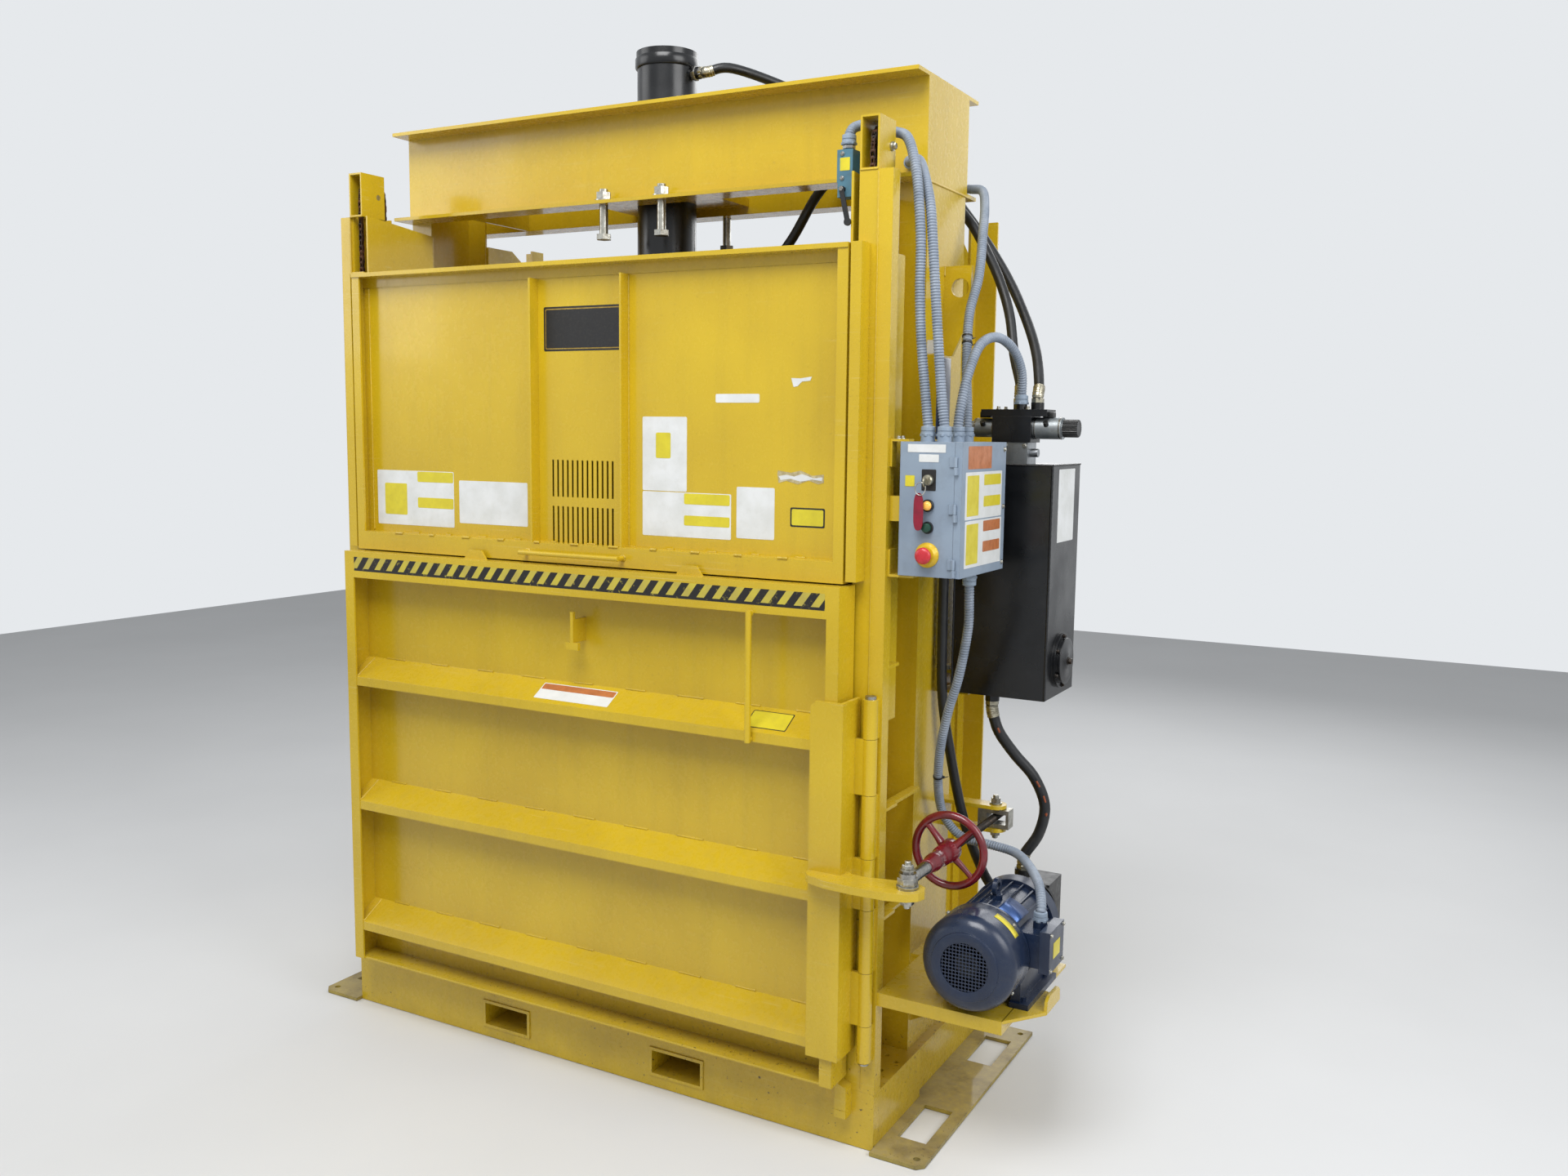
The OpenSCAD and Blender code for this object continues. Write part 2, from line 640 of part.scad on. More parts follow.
// round yellow plate under the stop button
module stop_button_collar() color([0.93, 0.80, 0.08]) at_front() difference() {
    union() {
        rod_y(control_x, box_y - 7, box_y, 1524, collar_d);
        rod_y(control_x, box_y, box_y + 24, 1524, 22);
    }
    rod_y(control_x, box_y - 8, box_y + 25, 1524, 16.2);
}

// red mushroom head with its stem
module stop_button() color([0.80, 0.10, 0.10]) at_front() {
    rod_y(control_x, box_y - 18, box_y + 12, 1524, 16);
    rod_y(control_x, box_y - 24, box_y - 16, 1524, mushroom_d - 10);
    rod_y(control_x, box_y - 34, box_y - 24, 1524, mushroom_d);
}

// key operated selector with its square plate, key and ring
module key_switch() color([0.08, 0.08, 0.09]) at_front() {
    rod_y(control_x, box_y - 12, box_y - 0.5, 1701, 28);
    rod_y(control_x, box_y - 1, box_y + 20, 1701, 22);
    box(control_x - 2, control_x + 2, box_y - 36, box_y - 12, 1692, 1710);
}

// yellow signal lamp
module pilot_light() color([0.93, 0.78, 0.15]) at_front() {
    rod_y(control_x, box_y - 5, box_y, 1641, 30);
    rod_y(control_x, box_y - 16, box_y - 5, 1641, 24);
    rod_y(control_x, box_y, box_y + 20, 1641, 22);
}

// start button
module push_button() color([0.10, 0.30, 0.18]) at_front() {
    rod_y(control_x, box_y - 12, box_y + 18, 1589, 22);
    rod_y(control_x, box_y - 16, box_y - 11, 1589, 24);
}

// limit switch body on a small bracket from the right sprocket housing
module limit_switch() color([0.30, 0.42, 0.48]) at_front() {
    box(744, 785, 8, 48, switch_z + 16, switch_z + 92);
    difference() {
        box(746, 784, 8, 44, switch_z - 18, switch_z + 16);
        rod_y(762, 7, 30, switch_z, 12.2);
    }
    box(752, 808, 48, 54, switch_z + 44, switch_z + 88);
    rod_z(765, 28, switch_z + 92, switch_z + 108, 24);
}

// roller lever of the limit switch
module limit_switch_lever() color([0.09, 0.09, 0.10]) at_front() {
    rod_y(762, -6, 29, switch_z, 12);
    translate([762, -6, switch_z]) rotate([0, -13, 0]) translate([-6, 0, -84]) cube([12, 4, 88]);
    translate([762, -6.5, switch_z]) rotate([0, -13, 0]) translate([0, 0, -80]) rotate([-90, 0, 0]) cylinder(h = 5, d = 18);
}

// front chain runs from the sprockets down to the gate shoes
module gate_chains() color([0.16, 0.13, 0.11]) at_front() both() {
    for (s = [-5, 3]) box(chain_x + s, chain_x + s + 2, 14, 26, gate_z + 93, sprocket_z);
}

// rear chain runs from the sprockets down to the counterweights
module weight_chains() color([0.16, 0.13, 0.11]) at_front() both() {
    for (s = [-5, 3]) box(chain_x + s, chain_x + s + 2, 106, 118, post_h - 20, sprocket_z);
}

// chain over the top of each sprocket
module chain_wraps() color([0.16, 0.13, 0.11]) at_front() both() for (s = [-5, 3])
    difference() {
        rod_x(chain_x + s, chain_x + s + 2, sprocket_y, sprocket_z, 2 * sprocket_r + 12);
        rod_x(chain_x + s - 1, chain_x + s + 3, sprocket_y, sprocket_z, 2 * sprocket_r - 12);
        box(chain_x - 10, chain_x + 10, 0, 150, sprocket_z - 70, sprocket_z);
    }

module sprocket() at_front() difference() {
    union() {
        rod_x(chain_x - 2, chain_x + 2, sprocket_y, sprocket_z, 2 * sprocket_r - 6);
        rod_x(chain_x - 14, chain_x + 14, sprocket_y, sprocket_z, 34);
        for (a = [0 : 20 : 340])
            translate([chain_x, sprocket_y, sprocket_z]) rotate([a, 0, 0]) translate([-2, -3, sprocket_r - 8])
                cube([4, 6, 12]);
    }
    rod_x(chain_x - 20, chain_x + 20, sprocket_y, sprocket_z, 16.1);
}

// toothed chain wheels
module left_sprocket() color([0.30, 0.17, 0.13]) mirror([1, 0, 0]) sprocket();

module right_sprocket() color([0.30, 0.17, 0.13]) sprocket();

module counterweight() at_front() {
    box(811, 848, 104, 144, post_h - 626, post_h - 36);
    box(chain_x - 3, chain_x + 3, 108, 118, post_h - 36, post_h - 8);
}

// steel bars that balance the gate
module left_counterweight() color([0.12, 0.12, 0.12]) mirror([1, 0, 0]) counterweight();

module right_counterweight() color([0.12, 0.12, 0.12]) counterweight();

// welded frame of the feed gate with its handle and chain shoes
module gate_frame() color([0.86, 0.70, 0.11]) at_front() {
    top = gate_z + gate_h;
    both() {
        box(gate_x - 28, gate_x, -49, -43, gate_z, top - 12);
        box(gate_x - 6, gate_x, -43, -8, gate_z, top - 12);
        box(gate_rib_x - 3, gate_rib_x + 3, -45, -11, gate_z + 53, top - 40);
        box(wo + 2, 805, -8, 30, gate_z + 23, gate_z + 93);
        box(805, 840, 20, 30, gate_z + 23, gate_z + 93);
        box(wo + 2, 805, -8, 30, top - 110, top - 50);
        box(wo + 2, gate_x - 6, -11, -8, gate_z + 23, top - 50);
    }
    box(-gate_x, gate_x, -52, -8, top - 12, top);
    box(-gate_x, gate_x, -13, -8, top - 40, top - 12);
    box(-gate_x + 28, gate_x - 28, -49, -43, gate_z, gate_z + 53);
    box(-gate_x + 6, gate_x - 6, -43, -11, gate_z + 48, gate_z + 53);
    box(-gate_x + 6, gate_x - 6, -43, -8, gate_z, gate_z + 5);
    for (x = [-160, 160]) rod_y(x, -78, -49, gate_z + 26, 13);
    rod_x(-166, 166, -78, gate_z + 26, 13);
}

// sheets of the gate with two rows of vent slots in the middle
module gate_panels() color([0.86, 0.70, 0.11]) at_front() difference() {
    box(-wo - 2, wo + 2, -11, -8, gate_z + 5, gate_z + gate_h - 40);
    for (i = [0 : vent_n - 1], z = [gate_z + 52, gate_z + 178])
        translate([(i - (vent_n - 1) / 2) * 200 / (vent_n - 1) - vent_w / 2, -12, z]) cube([vent_w, 6, 100]);
}

// lower door: skin, deep frame, three sloped ribs, pull bar, hook, top tabs and hinge knuckles
module lower_door() color([0.85, 0.69, 0.11]) at_front() {
    box(-door_x, door_x, door_y1, door_y1 + 6, door_z0, door_z1);
    both() {
        box(door_x - 6, door_x, door_y0, door_y1, door_z0, door_z1);
        box(door_x - stile_w, door_x - 6, door_y0, door_y0 + 6, door_z0, door_z1);
    }
    box(-door_x + 6, door_x - 6, door_y0, door_y1, door_z1 - 7, door_z1);
    box(-door_x + stile_w, door_x - stile_w, door_y0, door_y0 + 6, door_z1 - 78, door_z1 - 7);
    box(-door_x + 6, door_x - 6, door_y0 + 6, door_y1, door_z0, door_z0 + 6);
    for (z = [280, 660, 1040]) door_rib(z);
    for (x = [-337, 377]) translate([x, -58, door_z1 + 0.05]) rotate([90, 0, 0]) linear_extrude(6)
        polygon([[-40, 0], [40, 0], [22, 25], [-22, 25]]);
    rod_z(576, door_y0 - 10, 1040, 1372, pull_d);
    for (z = [1048, 1364]) rod_y(576, door_y0 - 10, door_y0 + 1, z, pull_d);
    box(0, 10, -70, door_y1, 1236, 1300);
    box(-16, 26, -70, -60, 1216, 1236);
    box(0, 10, -70, -60, 1236, 1320);
    for (z = [330, 815, 1300]) difference() {
        union() {
            rod_z(hinge_x, hinge_y, z - 30, z + 30, 30);
            box(hinge_x, -door_x, hinge_y - 6, hinge_y + 6, z - 30, z + 30);
        }
        rod_z(hinge_x, hinge_y, z - 31, z + 31, 16.2);
    }
}

module door_rib(z) {
    translate([door_x - 6, 0, 0]) rotate([90, 0, -90]) linear_extrude(door_w - 12)
        polygon([[-door_y1, z + rib_lip + rib_drop], [-door_y1, z + rib_lip + rib_drop - 6],
            [-door_y0 - 8, z + rib_lip - 6], [-door_y0 - 8, z], [-door_y0 - 2, z], [-door_y0 - 2, z + rib_lip]]);
}

// angle shaped latch bar with its hinge knuckles and the thick arm that the screw pushes
module latch_bar() color([0.87, 0.71, 0.12]) at_front() {
    difference() {
        box(752, 840, latch_y0 - latch_t, latch_y0, latch_z0, latch_z0 + latch_h);
        translate([752, -120, latch_z0 + latch_h - 14]) rotate([0, -45, 0]) cube([30, 40, 30]);
    }
    box(840 - latch_t, 840, latch_y0, -6, latch_z0, latch_z0 + latch_h);
    for (i = [0 : 2]) difference() {
        union() {
            rod_z(latch_x, latch_y, latch_knuckle_z(i), latch_knuckle_z(i) + latch_knuckle_len(i), knuckle_d);
            box(840, latch_x, latch_y - 15, latch_y - 3,
                latch_knuckle_z(i), latch_knuckle_z(i) + latch_knuckle_len(i));
        }
        rod_z(latch_x, latch_y, 200, 1250, 20.2);
    }
    difference() {
        translate([0, 0, arm_z]) linear_extrude(arm_t)
            polygon([[752, latch_y0 - latch_t], [754, -122], [772, -142], [820, -156], [900, -160], [980, -156],
                [1030, -142], [1052, -122], [1058, -98], [1050, -74], [1030, -62], [1000, -60], [950, -68],
                [900, -80], [860, -78], [840, -62], [840, latch_y0 - latch_t]]);
        rod_z(swivel_x, swivel_y, arm_z - 1, arm_z + arm_t + 1, 16.2);
    }
}

// swivel bolt through the arm with the thrust fork for the screw
module screw_swivel() color([0.70, 0.72, 0.75]) at_front() {
    rod_z(swivel_x, swivel_y, arm_z - 14, arm_z + arm_t + 4, 16);
    rod_z(swivel_x, swivel_y, arm_z + arm_t, arm_z + arm_t + 4, 52);
    translate([swivel_x, swivel_y, arm_z - 14]) cylinder(h = 10, d = 30, $fn = 6);
    rod_z(swivel_x, swivel_y, arm_z - 4, arm_z, 44);
    difference() {
        rod_z(swivel_x, swivel_y, arm_z + arm_t + 4, screw_z + 21, 42);
        rod_y(swivel_x, swivel_y - 12, swivel_y + 40, screw_z, 16.2);
    }
    rod_z(swivel_x, swivel_y, screw_z + 21, screw_z + 28, 26);
}

// screw between the swivel and the rear nut
module latch_screw() color([0.45, 0.45, 0.46]) at_front() {
    rod_y(swivel_x, swivel_y - 10, swivel_y + 26, screw_z, 16);
    rod_y(swivel_x, swivel_y + 24, anchor_y + 60, screw_z, screw_d);
}

// five part cast handwheel with a long hub
module handwheel() color([0.42, 0.05, 0.08]) at_front() {
    difference() {
        union() {
            translate([swivel_x, wheel_y, screw_z]) rotate([90, 0, 0])
                rotate_extrude($fn = 48) translate([wheel_d / 2 - rim_d / 2, 0]) circle(d = rim_d, $fn = 16);
            rod_y(swivel_x, wheel_y - 112, wheel_y + 16, screw_z, 36);
            for (a = [45 : 90 : 315])
                translate([swivel_x, wheel_y, screw_z]) rotate([0, a, 0]) translate([0, 0, 12])
                    cylinder(h = wheel_d / 2 - 12 - rim_d / 2, d = 14);
        }
        rod_y(swivel_x, wheel_y - 120, wheel_y + 20, screw_z, screw_d);
    }
}

// one tube along a list of points: a ring of corners at each point, square to the path
function unit(v) = v / norm(v);
function path_dir(p, i) = unit(p[min(i + 1, len(p) - 1)] - p[max(i - 1, 0)]);
function ring(c, d, r, n) = let (a = unit(cross(d, [0.31, 0.11, 0.94])), b = cross(d, a))
    [for (k = [0 : n - 1]) c + r * (cos(360 * k / n) * a + sin(360 * k / n) * b)];
function bend(a, b, c, d, t) =
    a * pow(1 - t, 3) + b * 3 * t * pow(1 - t, 2) + c * 3 * t * t * (1 - t) + d * pow(t, 3);
function lean(p, i) = (p[min(i + 1, len(p) - 1)] - p[max(i - 1, 0)]) / 6;
function smooth(p, m) = [for (i = [0 : len(p) - 2], k = [0 : m - 1])
    bend(p[i], p[i] + lean(p, i), p[i + 1] - lean(p, i + 1), p[i + 1], k / m), p[len(p) - 1]];

module tube(points, d, m = 3, n = 8) {
    p = smooth(points, m);
    c = len(p);
    e = len(points) - 1;
    v = [for (i = [0 : c - 1]) each ring(p[i], i == 0 ? unit(points[1] - points[0])
        : i == c - 1 ? unit(points[e] - points[e - 1]) : path_dir(p, i), d / 2, n)];
    f = [for (i = [0 : c - 2], k = [0 : n - 1])
        [i * n + k, i * n + (k + 1) % n, (i + 1) * n + (k + 1) % n, (i + 1) * n + k]];
    polyhedron(points = v, faces = concat([[for (k = [n - 1 : -1 : 0]) k]], f,
        [[for (k = [0 : n - 1]) (c - 1) * n + k]]));
}

route_switch = [[972, 60, 1806], [972, 60, 1822], [963, 60, 1900], [951, 56, 2022], [946, 52, 2136], [946, 50, 2248],
    [938, 54, 2342], [920, 72, 2425], [884, 104, 2506], [835, 130, 2532], [790, 100, 2546], [769, 50, 2532],
    [765, 28, switch_z + 126], [765, 28, switch_z + 108]];
route_lamp = [[1014, 60, 1806], [1014, 60, 1822], [1004, 60, 1900], [994, 56, 2021], [984, 56, 2134], [973, 60, 2247],
    [957, 76, 2343], [922, 116, 2425], [880, 180, 2470], [838, 226, 2482], [830, col_y0 - crown_t - 14, 2480],
    [830, col_y0 - crown_t, 2480]];
route_crown = [[1005, 230, 1806], [1005, 230, 1822], [998, 245, 1880], [976, 290, 1981], [960, 340, 2109],
    [961, 398, 2211], [945, 460, 2323], [926, 520, 2407], [897, 575, 2458], [852, 600, 2470], [822, 576, 2474],
    [818, col_y1 + crown_t + 14, 2474], [818, col_y1 + crown_t, 2474]];
route_valve = [[1012, 150, 1806], [1012, 150, 1822], [1013, 165, 1881], [1018, 200, 1963], [1027, 250, 2029],
    [1047, 310, 2050], [1068, 370, 2025], [1076, 420, 1971], [1070, 446, 1908], [1070, 446, 1890]];
route_motor = [[1034, 200, 1456], [1034, 200, 1440], [1034, 203, 1395], [1028, 215, 1320], [1002, 230, 1198],
    [968, 250, 1100], [940, 275, 1000], [921, 310, 900], [914, 352, 815], [930, 375, 762], [972, 384, 728],
    [1050, 382, 722], [1120, 370, 716], [1180, 300, 712], [1236, 210, 700], [1260, 160, 668], [1262, 150, 650],
    [1262, 150, 634]];
route_raise = [[111, ram_y, 2812], [125, ram_y, 2812], [141, ram_y, 2812], [196, 440, 2824], [310, 590, 2785],
    [520, 690, 2680], [700, 715, 2540], [805, 706, 2421], [896, 685, 2305], [969, 645, 2203], [1033, 590, 2101], [1075, 540, 2020],
    [1102, 488, 1941], [1106, 470, 1912], [1106, 470, 1892]];
route_lower = [[111, ram_y, 2150], [125, ram_y, 2150], [141, ram_y, 2151], [230, 400, 2182], [330, 410, 2260],
    [400, 420, 2340], [470, 432, 2455], [515, 470, 2515], [560, 527, hose_hole_z], [650, 600, 2515], [760, 640, 2465],
    [835, 640, 2395], [893, 625, 2311], [946, 600, 2220], [986, 572, 2127], [1017, 530, 2020], [1048, 494, 1945],
    [1052, 486, 1912], [1052, 486, 1892]];
route_suction = [[1014, 452, 1098], [1014, 452, 1080], [1018, 458, 1052], [1034, 464, 1008], [1070, 490, 948],
    [1118, 515, 885], [1147, 525, 808], [1135, 520, 731], [1102, 508, 672], [1098, 506, 648], [1098, 506, 630]];
route_return = [[1010, 465, 1762], [994, 465, 1762], [956, 462, 1766], [916, 443, 1759], [896, 400, 1705],
    [896, 376, 1600], [896, 376, 1450], [896, 376, 1300], [898, 376, 1150], [903, 390, 1050], [912, 410, 960],
    [925, 430, 860], [945, 445, 760], [968, 470, 670], [994, 498, 590], [1020, 506, 556], [1044, 506, 552],
    [1062, 506, 552]];

// conduit from the control box to the limit switch side of the right housing
module conduit_switch() color([0.58, 0.62, 0.68]) at_front() tube(route_switch, conduit_d);

// second conduit beside it
module conduit_lamp() color([0.58, 0.62, 0.68]) at_front() tube(route_lamp, conduit_d);

// conduit from the control box to the back of the crown
module conduit_crown() color([0.58, 0.62, 0.68]) at_front() tube(route_crown, conduit_d);

// conduit from the control box to the valve
module conduit_valve() color([0.58, 0.62, 0.68]) at_front() tube(route_valve, conduit_d);

// conduit from the control box to the motor terminal box
module conduit_motor() color([0.58, 0.62, 0.68]) at_front() tube(route_motor, conduit_d);

// hose from the valve to the upper port of the cylinder
module hose_raise() color([0.05, 0.05, 0.06]) at_front() tube(route_raise, hose_d);

// hose from the manifold to the lower port of the cylinder
module hose_lower() color([0.05, 0.05, 0.06]) at_front() tube(route_lower, hose_d);

// suction hose from the tank to the pump
module hose_suction() color([0.05, 0.05, 0.06]) at_front() tube(route_suction, hose_d + 3);

// pressure line from the pump back to the tank side
module hose_return() color([0.05, 0.05, 0.06]) at_front() tube(route_return, hose_d);

base_frame();
foot_plates();
side_walls();
back_wall();
front_posts();
columns();
crown_channels();
sprocket_housings();
lifting_eyes();
guide_bars();
equipment_brackets();
motor_shelf();
hinge_knuckles();
pivot_pins();
screw_anchor();
screw_nut();
ram_cylinder();
crown_bolts();
piston_rod();
platen();
oil_tank();
valve_manifold();
valve_body();
valve_coils();
motor_body();
motor_fan_cover();
motor_fan();
hydraulic_pump();
control_box();
control_box_lid();
stop_button_collar();
stop_button();
key_switch();
pilot_light();
push_button();
limit_switch();
limit_switch_lever();
gate_chains();
weight_chains();
chain_wraps();
left_sprocket();
right_sprocket();
left_counterweight();
right_counterweight();
gate_frame();
gate_panels();
lower_door();
latch_bar();
screw_swivel();
latch_screw();
handwheel();
conduit_switch();
conduit_lamp();
conduit_crown();
conduit_valve();
conduit_motor();
hose_raise();
hose_lower();
hose_suction();
hose_return();
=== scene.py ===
"""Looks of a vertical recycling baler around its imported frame: enamel, chains, cords, controls and trim.

Run as a script. Shapes are worked out in machine millimetres (X across, Y back from the base front, Z up)
and moved to the row frame, in metres, when a piece is made."""

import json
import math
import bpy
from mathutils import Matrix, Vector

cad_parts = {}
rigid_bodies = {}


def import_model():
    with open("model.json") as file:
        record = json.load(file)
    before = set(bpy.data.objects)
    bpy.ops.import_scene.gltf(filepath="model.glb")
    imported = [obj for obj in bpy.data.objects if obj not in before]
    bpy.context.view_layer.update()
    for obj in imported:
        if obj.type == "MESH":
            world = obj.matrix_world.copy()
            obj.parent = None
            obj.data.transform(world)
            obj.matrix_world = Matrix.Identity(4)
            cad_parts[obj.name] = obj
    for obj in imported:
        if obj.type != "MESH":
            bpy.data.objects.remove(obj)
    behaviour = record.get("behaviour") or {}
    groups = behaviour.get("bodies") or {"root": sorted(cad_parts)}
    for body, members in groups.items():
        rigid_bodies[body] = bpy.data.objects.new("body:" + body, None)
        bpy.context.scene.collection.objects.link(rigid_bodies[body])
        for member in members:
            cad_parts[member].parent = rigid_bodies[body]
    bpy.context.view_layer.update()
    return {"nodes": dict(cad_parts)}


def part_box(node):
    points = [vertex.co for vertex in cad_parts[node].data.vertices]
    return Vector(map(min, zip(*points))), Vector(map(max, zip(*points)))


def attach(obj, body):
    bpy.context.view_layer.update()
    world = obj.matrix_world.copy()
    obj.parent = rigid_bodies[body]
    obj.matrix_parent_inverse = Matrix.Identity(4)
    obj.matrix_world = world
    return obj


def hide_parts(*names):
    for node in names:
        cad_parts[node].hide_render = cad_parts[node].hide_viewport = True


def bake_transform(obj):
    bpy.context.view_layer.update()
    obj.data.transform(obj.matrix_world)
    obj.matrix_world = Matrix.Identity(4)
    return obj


bl_info = {
    "name": "Vertical Baler Looks",
    "version": (1, 0, 0),
    "blender": (4, 5, 0),
    "location": "View3D > Sidebar > Baler",
    "description": "Builds the finishes, chains, cords, controls and trim of a vertical recycling baler",
    "category": "Object",
}

import bmesh
import bpy
import numpy as np
from bpy.props import FloatProperty, FloatVectorProperty, IntProperty, PointerProperty
from mathutils import Matrix

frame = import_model()

# places that several steps share, in machine millimetres
BASE_FRONT = 405.0  # the base's front edge lies this far in front of the row frame's origin
RAM_Y = 395.0  # middle of the cylinder
WHEEL_Y, WHEEL_Z = 66.0, 2483.0  # the chain wheels' axle
WHEEL_R = 46.0  # the circle that the chain runs on, round a wheel
SWITCH_X, SWITCH_Z = 765, 2382  # the limit switch, and the pivot of its lever
GATE_SHEET = -11.02  # front of the gate's sheet
PANEL_X, PANEL_Y = 999.0, 7.0  # the row of buttons, on the front of the control box
COILS_Y, COILS_Z = 465, 1826  # the line through the valve's two coils
MOTOR_X, MOTOR_Z = 1138.0, 552.0  # the motor's shaft
TURN_X = 1015  # the latch screw, its swivel and its rear fork stand in one line
RIGHT, FRONT, BACK, UP, DOWN = (1, 0, 0), (0, -1, 0), (0, 1, 0), (0, 0, 1), (0, 0, -1)
PLATE = 0.25  # each field of colour lies this far in front of the one below it


def linear(hex_colour):
    """sRGB hex to a linear red, green, blue: c / 12.92 below 0.04045, else ((c + 0.055) / 1.055) to the power
    2.4."""
    c = np.array([int(hex_colour[i : i + 2], 16) for i in (1, 3, 5)]) / 255
    return tuple(np.where(c <= 0.04045, c / 12.92, ((c + 0.055) / 1.055) ** 2.4).tolist())


def metres(points):
    """Machine millimetres to the row frame: Y less the base front's distance, all divided by 1000."""
    return (np.asarray(points, float) - [0, BASE_FRONT, 0]) / 1000


# Surfaces


def unit(v):
    """A vector, or rows of vectors, divided by its length."""
    v = np.asarray(v, float)
    return v / np.linalg.norm(v, axis=-1, keepdims=True)


def lattice(points, close_u=False, close_v=True):
    """(vertices, faces) of a grid of points: each is joined to the next along u and v, and the last to the
    first where closed."""
    nu, nv = points.shape[:2]
    index = np.arange(nu * nv).reshape(nu, nv)
    a, b = (index, np.roll(index, -1, 0)) if close_u else (index[:-1], index[1:])
    c, d = np.roll(b, -1, 1), np.roll(a, -1, 1)
    if not close_v:
        a, b, c, d = (k[:, :-1] for k in (a, b, c, d))
    return points.reshape(-1, 3), np.stack([a, b, c, d], -1).reshape(-1, 4).tolist()


def lathe(profile, centre, axis=UP, sides=32, closed=False):
    """A turned shape: rows (distance along the axis, radius) carried round it, centre + d w + r (cos t u +
    sin t v)."""
    rows, w = np.asarray(profile, float), unit(axis)
    u = unit(np.cross(w, UP if abs(w[2]) < 0.9 else RIGHT))
    t = 2 * np.pi * np.arange(sides) / sides
    ring = np.cos(t)[:, None] * u + np.sin(t)[:, None] * np.cross(w, u)
    points = np.asarray(centre, float) + rows[:, 0, None, None] * w + rows[:, 1, None, None] * ring
    return lattice(points, closed, True)


def sweep(path, radius, sides=12, squash=1.0):
    """A round bar along a path: rings of the given radius square to it, their zero turned to the one fixed
    direction that is furthest from every part of the path, and closed by a ring of no radius at both ends."""
    path = np.asarray(path, float)
    along = unit(np.gradient(path, axis=0))
    a = np.radians(np.arange(0, 360, 30))
    tries = np.array([[np.cos(e) * np.cos(k), np.cos(e) * np.sin(k), np.sin(e)] for k in a for e in a[:4]])
    best = tries[np.argmax(np.linalg.norm(np.cross(along[:, None], tries[None]), axis=-1).min(0))]
    u = unit(np.cross(along, best))
    v = np.cross(along, u)
    r = np.broadcast_to(radius, len(path)).astype(float)
    keep = np.r_[0, np.arange(len(path)), len(path) - 1]
    r = np.r_[0, r, 0]
    t = 2 * np.pi * np.arange(sides) / sides
    ring = np.cos(t)[:, None] * u[keep][:, None] + squash * np.sin(t)[:, None] * v[keep][:, None]
    return lattice(path[keep][:, None] + r[:, None, None] * ring)


def curve(points, steps=8):
    """A smooth line through points: cubic pieces whose handles are a sixth of the way between each point's
    neighbours."""
    p = np.asarray(points, float)
    i = np.arange(len(p))
    lean = (p[np.minimum(i + 1, len(p) - 1)] - p[np.maximum(i - 1, 0)]) / 6
    t = (np.arange(steps) / steps)[:, None, None]
    q = (1 - t) ** 3 * p[:-1] + 3 * t * (1 - t) ** 2 * (p[:-1] + lean[:-1])
    q = q + 3 * t**2 * (1 - t) * (p[1:] - lean[1:]) + t**3 * p[1:]
    return np.vstack([q.transpose(1, 0, 2).reshape(-1, 3), p[-1]])


def walked(line):
    """Each point's distance along the line from its start: the running sum of the lengths between points."""
    return np.r_[0, np.cumsum(np.linalg.norm(np.diff(line, axis=0), axis=1))]


def at(line, distances):
    """The points of a line at distances from its start: each lies straight between two of its own points."""
    s = walked(line)
    return np.stack([np.interp(distances, s, line[:, k]) for k in range(3)], 1)


def spaced(path, step):
    """The same line with points a step apart, and each one's distance from the start."""
    length = walked(path)[-1]
    d = np.linspace(0, length, max(2, int(round(length / step)) + 1))
    return at(path, d), d


def corners(steps):
    """The four corners' signs and the directions round them: a quarter turn at each, in equal steps."""
    turn = (np.arange(4)[:, None] * np.pi / 2 + np.linspace(0, np.pi / 2, steps + 1)).ravel()
    signs = np.repeat([[1, 1], [-1, 1], [-1, -1], [1, -1]], steps + 1, 0)
    return signs, np.stack([np.cos(turn), np.sin(turn)], 1)


def block(low, high, soft=1.5, steps=3):
    """A box with rounded edges: round-cornered rectangles, drawn in along quarter circles at both ends."""
    low, high = np.minimum(low, high).astype(float), np.maximum(low, high).astype(float)
    half = (high - low) / 2
    r = min(soft, half.min() * 0.98)
    q = np.linspace(0, np.pi / 2, steps + 1)
    signs, round_them = corners(steps)
    spread = np.r_[r * np.sin(q), r * np.sin(q)[::-1]]
    height = np.r_[r * (1 - np.cos(q)), 2 * half[2] - r * (1 - np.cos(q))[::-1]]
    flat = signs * (half[:2] - r) + spread[:, None, None] * round_them
    points = np.concatenate([flat, np.broadcast_to(height[:, None, None], (*flat.shape[:2], 1))], 2)
    vertices, faces = lattice(points + [*(low + half)[:2], low[2]])
    first, last = [k * (steps + 1) for k in range(4)], (len(spread) - 1) * len(signs)
    return vertices, faces + [first[::-1], [last + k for k in first]]


def prism(outline, low, high, axis=2):
    """A flat outline carried straight along one axis, closed by its own shape at both ends."""
    outline = np.asarray(outline, float)
    rings = np.stack([np.insert(outline, axis, level, 1) for level in (low, high)])
    vertices, faces = lattice(rings)
    n = len(outline)
    return vertices, faces + [list(range(n))[::-1], list(range(n, 2 * n))]


def field(middle, across, up, size, thick=0.4, corner=3.0):
    """A thin plate with round corners: a rounded rectangle on two directions, raised by its thickness."""
    u, w = unit(across), np.asarray(size, float) / 2
    v = unit(np.asarray(up, float) - np.dot(up, u) * u)
    signs, round_them = corners(3)
    r = min(corner, w.min() * 0.9)
    flat = signs * (w - r) + r * round_them
    base = np.asarray(middle, float) + flat[:, :1] * u + flat[:, 1:] * v
    vertices, faces = lattice(np.stack([base, base + thick * np.cross(u, v)]))
    return vertices, faces + [list(range(16))[::-1], list(range(16, 32))]


